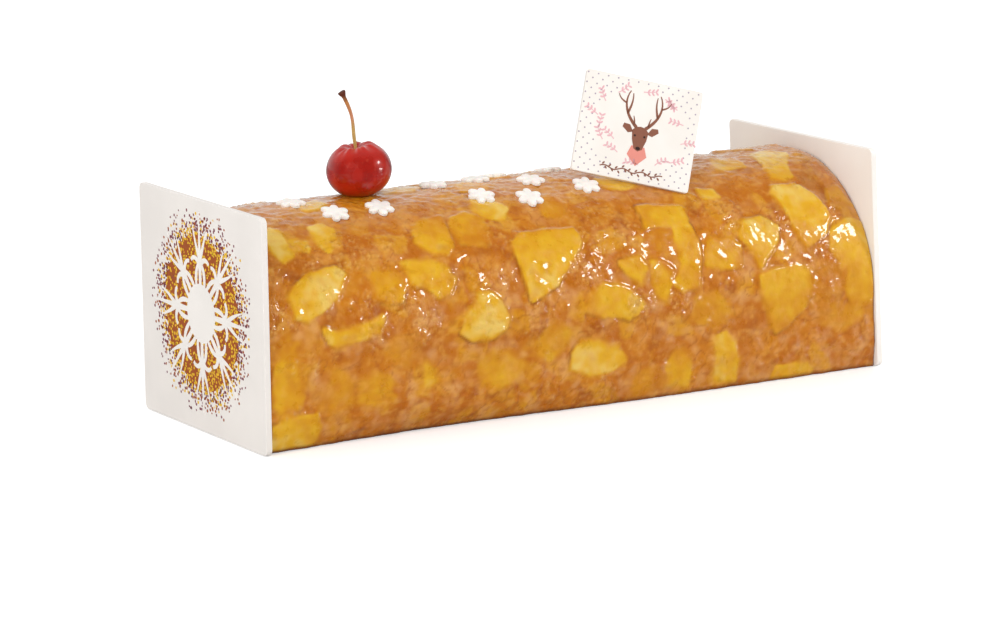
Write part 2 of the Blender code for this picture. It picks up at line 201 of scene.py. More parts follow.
# ---- fruit pieces ---------------------------------------------------------------------------------
# Each is an outline of (distance along the log, distance up and over the surface from the front's
# foot), then the height of its top face above the log's surface, its tone from deep to pale, and the
# face's slope along and up, in millimetres per 10 mm.
FRUIT = (
    (((13, 44), (12, 52), (17, 57), (23, 60), (34, 61), (37, 58), (31, 50), (24, 46), (17, 43)),
     0.7, 0.86, -0.1, 0.1),
    (((31, 50), (37, 60), (42, 58), (44, 53), (39, 48)), -0.3, 0.12, 0.1, 0.2),
    (((44, 48), (45, 57), (56, 57), (58, 54), (55, 46), (49, 45)), 0.5, 0.52, 0.2, -0.1),
    (((57, 60), (68, 60), (74, 57), (78, 51), (74, 46), (69, 45), (65, 50), (58, 51)),
     0.5, 0.66, 0.1, -0.2),
    (((22, 40), (28, 38), (38, 39), (48, 42), (46, 38), (37, 35), (28, 34), (24, 36)),
     0.5, 0.76, -0.1, 0.5),
    (((4, 28), (6, 33), (12, 37), (14, 33), (14, 24), (15, 17), (13, 14), (6, 13), (3, 16)),
     -0.3, 0.52, 0.0, -0.3),
    (((2, 1), (2, 9), (8, 12), (20, 12), (22, 8), (21, 1)), 0.4, 0.76, 0.0, 0.1),
    (((20, 13), (19, 19), (26, 22), (30, 26), (33, 22), (34, 14), (30, 11), (25, 11)),
     -0.8, 0.36, 0.3, 0.0),
    (((35, 13), (35, 21), (42, 24), (48, 22), (50, 19), (45, 14), (40, 12)), -0.7, 0.52, 0.2, 0.2),
    (((46, 31), (52, 35), (60, 28), (63, 22), (56, 24), (49, 27)), -1.0, 0.22, 0.2, 0.1),
    (((14, 35), (18, 39), (22, 36), (22, 30), (17, 28)), -1.5, 0.02, 0.2, -0.4),
    (((12, 69), (12, 75), (17, 82), (20, 80), (20, 66), (15, 64)), 0.3, 0.97, 0.0, 0.1),
    (((30, 70), (31, 80), (36, 81), (39, 77), (37, 70), (33, 66)), 0.0, 0.82, 0.1, 0.0),
    (((20, 68), (21, 75), (27, 73), (26, 67)), -0.2, 0.74, 0.1, 0.1),
    (((34, 89), (35, 97), (43, 99), (46, 94), (42, 89)), 0.1, 0.92, 0.0, 0.2),
    (((50, 87), (50, 98), (60, 101), (66, 92), (62, 85), (55, 85)), 0.1, 0.34, 0.1, 0.1),
    (((66, 66), (68, 74), (75, 78), (81, 78), (81, 70), (80, 63), (76, 60), (71, 61)),
     0.3, 0.58, 0.2, -0.2),
    (((82, 70), (84, 76), (91, 78), (96, 74), (96, 66), (92, 62), (84, 63)), 0.2, 0.42, -0.1, 0.3),
    (((94, 78), (96, 85), (104, 83), (108, 77), (104, 71), (98, 73)), 0.3, 0.84, 0.1, 0.1),
    (((102, 62), (107, 65), (129, 65), (130, 59), (121, 50), (115, 44), (104, 40), (103, 48)),
     0.9, 0.74, 0.0, 0.1),
    (((75, 33), (77, 38), (82, 42), (84, 46), (90, 45), (93, 42), (95, 36), (94, 32), (88, 29), (79, 29)),
     1.0, 0.80, 0.0, -0.2),
    (((83, 14), (82, 22), (88, 26), (95, 25), (101, 20), (98, 14), (91, 11)), -0.9, 0.60, -0.2, 0.1),
    (((105, 22), (106, 27), (111, 32), (117, 32), (121, 28), (117, 23), (111, 18)), -0.6, 0.56, -0.3, 0.1),
    (((119, 15), (120, 21), (124, 25), (131, 24), (139, 20), (143, 15), (136, 12), (126, 12)),
     0.0, 0.86, -0.4, 0.1),
    (((124, 35), (127, 39), (134, 43), (143, 41), (148, 37), (151, 33), (145, 30), (135, 32)),
     0.7, 0.72, -0.2, 0.0),
    (((61, 16), (61, 24), (66, 22), (67, 16)), -0.8, 0.90, 0.0, 0.2),
    (((141, 50), (146, 51), (152, 51), (153, 46), (150, 41), (146, 44)), 0.3, 0.68, 0.1, 0.4),
    (((155, 50), (160, 49), (163, 46), (161, 38), (159, 33), (156, 34), (154, 43)), 0.2, 0.64, 0.5, 0.3),
    (((155, 61), (167, 62), (168, 46), (164, 41), (160, 47), (155, 52)), -0.5, 0.14, 0.2, 0.3),
    (((168, 62), (176, 62), (176, 48), (173, 37), (166, 36), (163, 39), (168, 46)), 0.5, 0.60, 0.3, -0.1),
    (((156, 61), (157, 71), (166, 70), (176, 68), (176, 60), (166, 61)), 0.6, 0.66, -0.1, 0.1),
    (((169, 28), (172, 33), (180, 35), (186, 31), (188, 27), (182, 24), (174, 24)), -0.5, 0.42, -0.1, 0.1),
    (((145, 2), (146, 9), (155, 12), (160, 6), (159, 2)), -0.8, 0.30, 0.2, 0.2),
    (((160, 3), (159, 12), (164, 17), (168, 15), (170, 10), (169, 2)), -0.4, 0.62, 0.3, -0.1),
    (((179, 2), (180, 12), (178, 20), (184, 21), (188, 16), (190, 10), (189, 1)), -0.3, 0.82, 0.6, 0.0),
    (((177, 45), (178, 51), (182, 55), (189, 54), (194, 50), (193, 43), (184, 43)), 0.2, 0.52, 0.1, 0.3),
    (((150, 82), (150, 90), (158, 88), (164, 82), (158, 79)), 0.1, 0.82, 0.0, 0.2),
    (((120, 71), (121, 80), (128, 83), (131, 76), (127, 70)), 0.0, 0.34, 0.1, 0.1),
    (((185, 70), (186, 76), (192, 75), (193, 69)), 0.0, 0.80, 0.0, 0.0),
    (((193, 54), (197, 60), (206, 61), (211, 56), (209, 50), (203, 44), (200, 41), (198, 47)),
     0.7, 0.76, 0.0, 0.2),
    (((214, 70), (216, 73), (228, 72), (232, 66), (235, 57), (231, 51), (221, 46), (219, 50), (217, 58)),
     0.9, 0.76, 0.1, 0.1),
    (((199, 39), (207, 41), (215, 42), (221, 40), (222, 30), (219, 26), (212, 20), (206, 17),
      (203, 20), (203, 28), (199, 33)), 0.3, 0.62, -0.2, 0.1),
    (((231, 46), (232, 52), (240, 56), (247, 55), (250, 46), (250, 30), (247, 22), (240, 22),
      (236, 30), (234, 40)), 0.3, 0.64, 0.0, 0.1),
    (((218, 76), (219, 82), (222, 96), (229, 98), (236, 93), (230, 84), (227, 76), (222, 74)),
     0.3, 0.86, 0.0, 0.1),
    (((236, 62), (238, 68), (244, 70), (247, 62), (241, 59)), 0.2, 0.40, 0.0, 0.1),
    (((223, 28), (224, 42), (230, 44), (235, 36), (233, 28)), -1.4, 0.06, 0.2, 0.2),
    (((224, 20), (226, 26), (235, 25), (244, 21), (236, 15)), -1.2, 0.34, 0.1, 0.2),
    (((199, 84), (204, 96), (214, 93), (213, 85)), 0.0, 0.66, 0.1, 0.1),
    (((204, 1), (206, 5), (220, 5), (223, 1)), -0.1, 0.74, 0.0, 0.3),
    (((70, 98), (72, 108), (84, 110), (88, 102), (80, 96)), 0.2, 0.78, 0.1, 0.1),
    (((96, 90), (98, 99), (108, 102), (112, 95), (104, 89)), 0.1, 0.50, 0.1, -0.1),
    (((170, 86), (172, 96), (184, 99), (188, 92), (180, 84)), 0.2, 0.60, 0.0, 0.1),
)
# Soft clusters of fine pulp and bubbles: place along, place up, reach, strength.
PULP = (
    (5, 47, 9, 1.0), (8, 62, 8, 0.6), (24, 66, 8, 0.9), (38, 66, 11, 0.9), (52, 64, 10, 0.8),
    (40, 45, 8, 0.7),
    (53, 46, 8, 0.9), (62, 38, 9, 1.0), (60, 47, 6, 0.8), (70, 52, 8, 0.6), (86, 50, 8, 0.7),
    (84, 39, 9, 1.0),
    (96, 50, 6, 0.7), (98, 66, 7, 0.7), (107, 36, 8, 0.8), (104, 31, 5, 0.9), (128, 50, 10, 1.0),
    (134, 60, 9, 0.8),
    (148, 60, 10, 0.9), (148, 35, 8, 0.8), (164, 33, 7, 0.9), (140, 70, 10, 0.7), (155, 45, 5, 0.6),
    (192, 63, 9, 1.0),
    (200, 56, 5, 0.5), (213, 58, 7, 1.0), (229, 44, 7, 0.7), (182, 68, 8, 0.8), (236, 60, 6, 0.8),
    (222, 42, 6, 0.5),
    (42, 37, 8, 0.7), (18, 29, 6, 0.6), (20, 58, 6, 0.4), (66, 70, 6, 0.6), (110, 6, 9, 0.5),
    (133, 5, 9, 0.5),
)
# Bubbly skin on the fruit itself: place along, place up, reach.
FROTH = (
    (26, 53, 5), (34, 57, 3), (85, 37, 7), (90, 34, 5), (84, 44, 3),
    (200, 57, 4), (116, 44, 4), (146, 36, 5), (10, 29, 4), (67, 47, 3),
)
# Wet ridges that catch the light: from, to, and width. A long one is broken into beads. More
# sparkles, too small to list one by one, are scattered over the pulp.
GLINTS = (
    (5, 29.5, 13, 31.5, 0.9), (31, 30, 36, 32, 0.7), (36, 32, 41, 33.5, 0.7), (37, 38, 43, 40, 1.0),
    (43, 40, 49, 43, 1.1),
    (44, 36, 50, 37.5, 0.9), (57, 34, 61, 32, 1.1), (60, 38, 66, 40, 0.8), (26, 56, 30, 59, 0.8),
    (31, 59, 35, 60, 0.6),
    (30, 47, 36, 47.5, 1.1), (24, 46, 28, 48, 0.6), (66, 61, 70, 60, 0.8), (71, 59, 75, 57.5, 0.8),
    (74, 55, 79, 54.5, 0.8),
    (79, 54, 84, 52, 0.7), (78, 57.5, 84, 60, 1.1), (76, 34, 77.5, 38, 1.2),
    (84.5, 46.5, 88.5, 48.5, 1.1), (85, 52.5, 88, 51, 1.2),
    (85, 41, 87, 44, 1.1), (94, 53, 96, 52, 1.2), (104.5, 65.5, 109, 63.5, 1.0),
    (110.5, 52.5, 113, 51, 1.4), (106.5, 47.8, 110, 46, 1.5),
    (110, 46, 112, 43, 1.1), (118.5, 54, 121, 52.5, 1.3), (102, 42, 104, 40.5, 1.1),
    (115, 43, 118, 40, 0.9), (118, 38.5, 119.5, 36.5, 1.2),
    (107, 54, 109, 53.8, 0.6), (136.3, 45, 138, 48, 1.1), (136, 30.6, 139, 30.2, 1.2),
    (129, 29, 133, 29.3, 0.5), (141.5, 36, 144, 35.5, 1.0),
    (161.5, 40, 164, 41, 1.3), (164, 38.5, 167, 37.5, 0.7), (172.5, 47.5, 173.5, 44.8, 1.5),
    (171.8, 34.4, 174, 33.6, 1.1), (178.5, 57, 180.5, 54.5, 1.5),
    (177.5, 52.8, 178.8, 51.6, 1.0), (182, 49.5, 186, 46, 0.9), (187.6, 44.8, 188.2, 42.4, 1.2),
    (194, 52, 198, 46, 0.9), (198.5, 57.5, 202, 57, 1.1),
    (199, 38, 199, 34, 0.9), (218, 44, 222, 42, 0.9), (221, 39, 223, 34, 1.0),
    (223, 34, 221, 29, 1.0), (219, 30, 223, 25, 0.6),
    (220, 46, 228, 48, 0.6), (233, 41, 234, 37, 0.8), (231, 49, 235, 52, 0.6),
    (223, 71, 229, 73, 0.7), (10, 13, 14, 16, 0.8),
    (14, 13, 18, 15.5, 1.1), (4, 11, 9, 12.5, 0.6), (30, 3, 37, 5, 0.7), (37, 5, 41, 5.5, 0.6),
    (44, 3, 48, 2.5, 0.5),
    (58, 2.2, 66, 1.6, 0.5), (93, 4, 97, 5, 0.5), (110, 2, 115, 2.4, 0.5), (116, 4, 118, 4.2, 0.6),
    (133, 1.8, 138, 2.4, 0.6),
    (140, 2.3, 143, 2.6, 0.5), (170.5, 4.5, 172, 6, 0.7), (120, 1.6, 123, 2.0, 0.5),
    (14, 46, 17, 47.5, 1.5), (14, 43, 16.5, 42.2, 1.0),
    (102, 31, 105, 30.5, 0.6), (96, 5, 99, 7.5, 0.5), (186, 4, 188, 3, 0.5), (193, 3, 196, 2, 0.5),
    (208, 8, 212, 9, 0.5),
    (147, 43, 149, 41.5, 0.7), (153.5, 46, 155, 48.5, 0.6), (106, 28, 107, 25.5, 0.5),
    (235, 60, 238, 63, 0.7), (244, 54, 246, 50, 0.7),
    (207, 44, 213, 43, 0.6), (20, 62, 23, 64, 0.6), (50, 70, 54, 69, 0.7), (12, 60, 15, 58, 0.6),
    (3, 50, 6, 47, 0.8),
)


def hidden_side_fruit():
    """More pieces over the ridge and down the back, of the front's sizes, with its gaps and depths."""
    rng = np.random.default_rng(41)
    made = []
    for row, middle in enumerate(np.arange(112, TOTAL_ARC - 2, 15.5)):
        for column in np.arange(6 + 8 * (row % 2), 250, 16.5):
            x, y = column + rng.normal(0, 2.6), middle + rng.normal(0, 2.2)
            sides = int(rng.choice((3, 4, 4, 4, 5, 6)))
            reach = rng.uniform(6.2, 10.5)
            narrow, turn = rng.uniform(0.62, 1.0), rng.uniform(0, math.pi)
            outline = []
            for k in range(sides):
                angle = 2 * math.pi * (k + rng.uniform(-0.2, 0.2)) / sides
                a, b = reach * math.cos(angle), reach * narrow * math.sin(angle)
                corner_x = x + a * math.cos(turn) - b * math.sin(turn)
                outline.append((corner_x, y + a * math.sin(turn) + b * math.cos(turn)))
            level = rng.choice((0.8, 0.5, 0.2, -0.3, -0.8), p=(0.24, 0.24, 0.2, 0.18, 0.14))
            tone = float(rng.uniform(0.2, 0.9))
            made.append((tuple(outline), float(level), tone, *rng.uniform(-0.3, 0.3, 2)))
    return made


def arc_rows():
    rows = list(np.arange(0, FRONT_ARC, FINE_STEP))
    count = int((TOTAL_ARC - FRONT_ARC) / BACK_STEP)
    return np.array(rows + list(np.linspace(FRONT_ARC, TOTAL_ARC, count + 1)))


def log_base():
    """The smooth log as arrays of places and outward directions, with the distances along and over."""
    over = arc_rows()
    angle = np.pi / 2 - np.clip((over - SPRING) / (2 * HALF_ARC), 0, 1) * np.pi
    height = np.where(over > TOTAL_ARC - SPRING, TOTAL_ARC - over, SPRING + ARCH * np.cos(angle))
    height = np.where(over < SPRING, over, height)
    start = PLATE + END_GAP
    ends = SPAN - END_GAP - height * math.tan(LEAN)
    share = np.linspace(0, 1, int(SPAN / X_STEP) + 1)
    along = start + share[:, None] * (ends[None, :] - start)
    over = np.broadcast_to(over[None, :], along.shape)
    angle = np.broadcast_to(angle[None, :], along.shape)
    height = np.broadcast_to(height[None, :], along.shape).copy()
    part_x = along + X_LEFT / MM
    front = np.where(angle > 0, 1.0, -1.0)
    low = np.clip(1 - height / 13.0, 0, 1)
    tuck = 1.6 + 4.4 * np.exp(-(((part_x + 58) / 60) ** 2))
    tuck = tuck + 0.35 * noise(along, front * 40, 5.0, 3) + 0.2 * noise(along, front * 40, 1.9, 4)
    shoulder = 3.0 * smooth(along, SPAN - 8, SPAN)
    wide = HALF - tuck * low * low
    on_side = (over < SPRING) | (over > TOTAL_ARC - SPRING)
    y = np.where(on_side, -front * wide, -HALF * np.sin(angle))
    z = np.where(on_side, height, SPRING + (ARCH - shoulder) * np.cos(angle))
    out_y = np.where(on_side, -front, -np.sin(angle))
    out_z = np.where(on_side, 0.0, np.cos(angle))
    return along, over, part_x, y, z, out_y, out_z


def over_at(degrees):
    """The distance over the surface at an angle from the ridge, positive to the front."""
    return SPRING + (90 - degrees) / 180 * 2 * HALF_ARC


def glint_slopes(x, over):
    """The slopes along and up the log that turn its surface to throw a key lamp at the camera."""
    angle = math.pi / 2 - min(max((over - SPRING) / (2 * HALF_ARC), 0), 1) * math.pi
    out = Vector((0, -math.sin(angle), math.cos(angle)))
    up = Vector((0, math.cos(angle), math.sin(angle)))
    height = over if over < SPRING else SPRING + ARCH * math.cos(angle)
    place = Vector((X_LEFT + x * MM, -HALF * MM * math.sin(angle), height * MM))
    half = (camera_back() * CAMERA["distance"] + CAMERA_TARGET - place).normalized()
    lamp = LAMPS[0] if over > LOW_GLINTS else LAMPS[1]
    half += (lamp_place(*lamp[1:4]) - place).normalized()
    return -half.x / half.dot(out), -half.dot(up) / half.dot(out)


def add_glints(surface, along, over):
    rng = np.random.default_rng(91)
    sparkles = []
    for x, y, reach, strength in PULP:
        for _ in range(int(0.11 * reach * reach * strength)):
            away, turn = reach * 0.8 * math.sqrt(rng.random()), rng.uniform(0, 2 * math.pi)
            sx, sy = min(max(x + away * math.cos(turn), 5), SPAN - 8), max(y + away * math.sin(turn), 1.5)
            sparkles.append((sx, sy, sx + rng.uniform(-0.8, 0.8), sy + 0.7, rng.uniform(0.5, 0.8)))
    for ax, ay, bx, by, width in list(GLINTS) + sparkles:
        length = math.hypot(bx - ax, by - ay)
        beads = max(1, round(length / 2.3))
        ux, uy = (bx - ax) / length, (by - ay) / length
        for k in range(beads):
            t = (k + 0.5) / beads
            x, y = ax + (bx - ax) * t + rng.normal(0, 0.12), ay + (by - ay) * t + rng.normal(0, 0.15)
            near = (np.abs(along - x) < 5) & (np.abs(over - y) < 5)
            dx, dy = along[near] - x, over[near] - y
            reach, thick = length / beads / 2 * 1.15, max(width * 1.2, 0.85 if y > LOW_GLINTS else 1.15)
            far = ((dx * ux + dy * uy) / max(reach, thick)) ** 2 + ((dy * ux - dx * uy) / thick) ** 2
            weight = np.exp(-(far**3))
            slope_x, slope_y = glint_slopes(x, y)
            middle = np.average(surface[near], weights=weight) + 0.18
            facet = middle + slope_x * dx + slope_y * dy
            surface[near] = surface[near] * (1 - weight) + facet * weight


def log_surface(along, over):
    """Height of the glazed fruit above the smooth log, and its colours."""
    high_up = smooth(over, 70, 90) * (1 - smooth(over, TOTAL_ARC - 90, TOTAL_ARC - 70))
    from_foot = np.minimum(over, TOTAL_ARC - over)
    foot = 1 - smooth(from_foot, 8, 30)
    jelly = 0.34 * noise(along, over, 13, 11) + 0.20 * noise(along, over, 5.5, 12) - 0.15
    jelly += 0.09 * noise(along, over * 1.6, 2.8, 13)
    # Film-like wrinkles run along the log near the foot, and finer ones along the ridge.
    jelly += foot * (0.20 * noise(along / 3.0, over, 2.0, 14) + 0.12 * noise(along / 1.6, over, 1.6, 19))
    ridge_wrinkles = 0.22 * noise(along / 2.2 + over * 0.3, over, 1.9, 15) + 0.14 * noise(along, over, 2.4, 16)
    jelly += high_up * ridge_wrinkles

    pulp = np.zeros_like(along)
    for x, y, reach, strength in PULP:
        away = np.hypot(along - x, over - y) / reach + 0.25 * noise(along, over, 5, 34)
        pulp = np.maximum(pulp, strength * (1 - smooth(away, 0.35, 1.1)))
    beyond = smooth(over, 100, 112)
    pulp = np.maximum(pulp, beyond * smooth(noise(along, over, 16, 17), -0.1, 0.5))
    pulp = np.maximum(pulp, 0.7 * high_up * smooth(noise(along, over, 9, 18), -0.5, 0.3))
    froth = np.zeros_like(along)
    for x, y, reach in FROTH:
        away = np.hypot(along - x, over - y) / reach + 0.3 * noise(along, over, 4, 35)
        froth = np.maximum(froth, 1 - smooth(away, 0.4, 1.1))

    # Ghosts of fruit deeper in the jelly.
    wave_x = along + 1.6 * noise(along, over, 11, 25) + 0.6 * noise(along, over, 4, 26)
    wave_y = over + 1.6 * noise(along, over, 11, 27) + 0.6 * noise(along, over, 4, 28)
    _, gap, ghost_tone, ghost_there = cells(wave_x, wave_y, 10.5, 29)
    ghost = smooth(gap, 0.02, 0.3) * smooth(ghost_there, 0.3, 0.6)
    jelly += 0.16 * ghost * (ghost_tone - 0.3)

    bent_x = along + 0.7 * noise(along, over, 8, 21) + 0.3 * noise(along, over, 2.8, 22)
    bent_y = over + 0.7 * noise(along, over, 8, 23) + 0.3 * noise(along, over, 2.8, 24)
    melt = smooth(noise(along, over, 9, 36), -0.55, 0.75)
    surface = jelly.copy()
    fruit = np.zeros_like(along)
    tone = np.full_like(along, 0.5)
    crevice_shade = np.zeros_like(along)
    proud = np.zeros_like(along)
    rng = np.random.default_rng(95)
    for outline, level, own_tone, slope_x, slope_y in list(FRUIT) + hidden_side_fruit():
        points = np.array(outline, float)
        centre = points.mean(0)
        reach = np.hypot(*(points - centre).T).mean()
        rounding = min(1.2, reach * 0.2)
        inset = [tuple(centre + (p - centre) * (1 - rounding / reach)) for p in points]
        wash, wash_turn = rng.uniform(0.08, 0.26), rng.uniform(0, 2 * math.pi)
        shade_side = rng.uniform(0, 2 * math.pi)
        window = (np.abs(bent_x - centre[0]) < reach * 2 + 7) & (np.abs(bent_y - centre[1]) < reach * 2 + 7)
        px, py = bent_x[window], bent_y[window]
        depth = polygon_depth(px, py, inset) + rounding
        tilt = 0.1 * (slope_x * (px - centre[0]) + slope_y * (py - centre[1]))
        flat = level * (0.72 if level > 0 else 1.0) + tilt
        edge = np.clip(1 - depth / 1.2, 0, 1)
        top = flat - 0.4 * (1 - np.sqrt(1 - edge**2)) + np.minimum(depth, 0) * 1.0
        now = surface[window]
        sunk = np.maximum(jelly[window] - flat, 0)
        soft = 0.45 + 1.5 * melt[window] + 1.0 * sunk
        seen = smooth(depth, -soft, soft) * np.exp(-sunk / 3.0)
        surface[window] = swollen_max(now, top, 0.5)
        across = (np.cos(wash_turn) * (px - centre[0]) + np.sin(wash_turn) * (py - centre[1])) / reach
        fruit[window] = fruit[window] * (1 - seen) + seen
        rim = 0.30 * np.exp(-np.maximum(depth, 0) / 1.3) * smooth(melt[window], 0.2, 0.9)
        tone[window] = tone[window] * (1 - seen) + seen * (own_tone + wash * across - rim)
        stands = smooth(flat - jelly[window], 0.0, 0.8)
        # Painted shade: a dark line just outside part of a raised piece's edge, on one side only.
        facing = np.cos(np.arctan2(py - centre[1], px - centre[0]) - shade_side)
        edge_shade = np.exp(-(((depth + 0.35) / 0.45) ** 2)) * (1 - melt[window]) * smooth(facing, 0.1, 0.8)
        crevice_shade[window] = crevice_shade[window] * (1 - seen) + stands * edge_shade
        proud[window] = np.maximum(proud[window], smooth(depth, 0.3, 1.6) * stands)

    loose = pulp * (1 - 0.8 * proud)
    away, _, own, _ = cells(along, over, 2.3, 31)
    fine_away, _, fine_own, _ = cells(along, over, 1.45, 32)
    grain = 0.40 * np.clip(1 - 1.5 * away**2, -0.3, 1) * (0.3 + own)
    grain = grain + 0.24 * np.clip(1 - 2 * fine_away**2, -0.2, 1)
    surface += np.maximum(loose, 0.8 * froth) * grain
    surface += 0.07 * noise(along, over, 1.9, 33) * (1 - foot)
    add_glints(surface, along, over)
    for x, degrees, _ in FLAKES:
        away = np.hypot(along - (x - X_LEFT / MM), over - over_at(degrees))
        surface = np.where(away < 8, np.minimum(surface, 0.1 + 1.2 * smooth(away, 5.0, 8.0)), surface)
    surface = np.clip(surface, -1.6, 1.3)

    def paint(colour, amount):
        nonlocal painted
        amount = np.clip(amount, 0, 1)[..., None]
        painted = painted * (1 - amount) + np.array(colour[:3]) * amount

    painted = np.zeros(along.shape + (3,)) + np.array(JELLY_DEEP[:3])
    broad, patch, small = noise(along, over, 15, 37), noise(along, over, 6.5, 38), noise(along, over, 2.7, 39)
    paint(JELLY_AMBER, smooth(broad + 0.5 * patch, -0.7, 0.6))
    paint(JELLY_GOLD, ghost * smooth(ghost_tone + 0.25 * small, 0.1, 0.7))
    paint(JELLY_BROWN, 0.75 * smooth(noise(along, over, 8, 40) + 0.3 * small, 0.2, 0.8))
    streak = noise(along / 1.8, over, 3.2, 41)
    smear = noise(wave_x * 0.8, wave_y + 0.25 * wave_x, 10, 42) + 0.7 * noise(wave_x, wave_y, 4.2, 44)
    smear = smear + 0.35 * streak
    lower = 1 - smooth(over, 36, 60) * (1 - high_up)
    # Pale tan smears, partly pulp and partly painted sheen, stronger low down and on the ridge.
    paint(PULP_TAN_AND_SHEEN, (0.36 + 0.34 * lower) * smooth(smear, -0.15, 1.0))
    film = noise(wave_x / 1.7, wave_y - 0.15 * wave_x, 2.6, 48)
    # The same pale tan, partly pulp and partly painted sheen, in streaks along the foot.
    paint(PULP_TAN_AND_SHEEN, 0.38 * foot * smooth(film + 0.3 * small, 0.1, 0.7))
    paint(JELLY_BROWN, 0.5 * lower * smooth(-film + 0.4 * patch, 0.25, 0.9))
    # Ridge top: tan pulp mixed with painted sheen, the pale reflection of the overhead light.
    paint(RIDGE_PULP_AND_SHEEN, high_up * np.clip(0.42 + 0.35 * streak + 0.2 * small, 0, 0.8))
    tiny = noise(wave_x * 1.1, wave_y, 2.0, 46)
    paint(JELLY_DEEP, 0.5 * smooth(tiny + 0.4 * small, 0.15, 0.8))
    paint(JELLY_PALE, 0.5 * smooth(-tiny + 0.4 * patch, 0.2, 0.9))
    vein = np.abs(noise(wave_x, wave_y, 7.0, 47))
    paint(JELLY_BROWN, 0.55 * (1 - smooth(vein, 0.0, 0.08)) * smooth(broad + 0.4 * patch, -0.4, 0.2))
    mottled = tone + 0.17 * noise(along, over, 4.5, 43) + 0.09 * small + 0.12 * froth
    flesh = np.zeros_like(painted)
    for channel in range(3):
        flesh[..., channel] = np.interp(mottled, FLESH_TONES, [colour[channel] for colour in FLESH])
    veiled = fruit * (1 - 0.42 * smooth(patch + 0.4 * small, 0.1, 1.0))
    painted = painted * (1 - veiled[..., None]) + flesh * veiled[..., None]
    # More of the ridge's tan pulp and painted sheen, laid over the fruit as well.
    paint(RIDGE_PULP_AND_SHEEN, 0.35 * high_up * smooth(streak + small, -0.2, 0.9))
    clump = 0.35 + 0.65 * smooth(noise(along, over, 3.4, 45), -0.35, 0.5)
    fine_bits = np.clip(1 - 1.7 * fine_away, 0, 1) * smooth(fine_own, 0.35, 0.9)
    bits = (fine_bits + np.clip(1 - 1.5 * away, 0, 1) * smooth(own, 0.5, 1.0)) * clump
    paint(SPECK_DARK, loose * 0.5 * smooth(fine_away, 0.35, 0.7) * smooth(small, -0.5, 0.5))
    # Pale specks: real grain in the pulp, and painted glints on the froth.
    paint(PULP_SPECK_AND_GLINT, np.maximum(loose, 0.8 * froth) * bits * 0.85)
    # Painted shade in the creases along the raised fruit's edges.
    paint(CREVICE_SHADE, 0.62 * crevice_shade)
    # Painted shadow: a dark line along the foot where the log meets the floor.
    paint(CREVICE_SHADE, 0.75 * (1 - smooth(from_foot, 0.4, 1.8)))
    return surface, painted, np.maximum(loose, froth)


def skin_grid_mesh(name, x, y, z, attributes):
    """A closed mesh from the grid of places: its sides, its flat foot and its two ends."""
    columns, rows = x.shape
    points = np.stack([x, y, z], -1).reshape(-1, 3) * MM
    index = np.arange(columns * rows).reshape(columns, rows)
    quads = np.stack([index[:-1, :-1], index[1:, :-1], index[1:, 1:], index[:-1, 1:]], -1).reshape(-1, 4)
    foot = np.stack([index[:-1, -1], index[1:, -1], index[1:, 0], index[:-1, 0]], -1)
    centres = np.array([[x[0].mean(), 0, 35], [x[-1].mean(), 0, 35]]) * MM
    points = np.concatenate([points, centres])
    ring = np.arange(rows)
    after = (ring + 1) % rows
    first = np.stack([index[0][ring], index[0][after], np.full(rows, len(points) - 2)], -1)
    last = np.stack([index[-1][after], index[-1][ring], np.full(rows, len(points) - 1)], -1)
    faces = [*quads.tolist(), *foot.tolist(), *first.tolist(), *last.tolist()]
    mesh = bpy.data.meshes.new(name)
    mesh.from_pydata(points.tolist(), [], faces)
    for key, values in attributes.items():
        if values.ndim == 3:
            made = mesh.attributes.new(key, "FLOAT_COLOR", "POINT")
            colours = np.ones((len(points), 4), np.float32)
            colours[:-2, :3] = values.reshape(-1, 3)
            colours[-2:, :3] = values.reshape(-1, 3).mean(0)
            made.data.foreach_set("color", colours.reshape(-1))
            continue
        made = mesh.attributes.new(key, "FLOAT", "POINT")
        made.data.foreach_set("value", np.append(values.reshape(-1), (0.0, 0.0)).astype(np.float32))
    smooth_faces = np.zeros(len(faces), bool)
    smooth_faces[: len(quads)] = True
    mesh.polygons.foreach_set("use_smooth", smooth_faces)
    mesh.update()
    return mesh


# ---- materials ------------------------------------------------------------------------------------


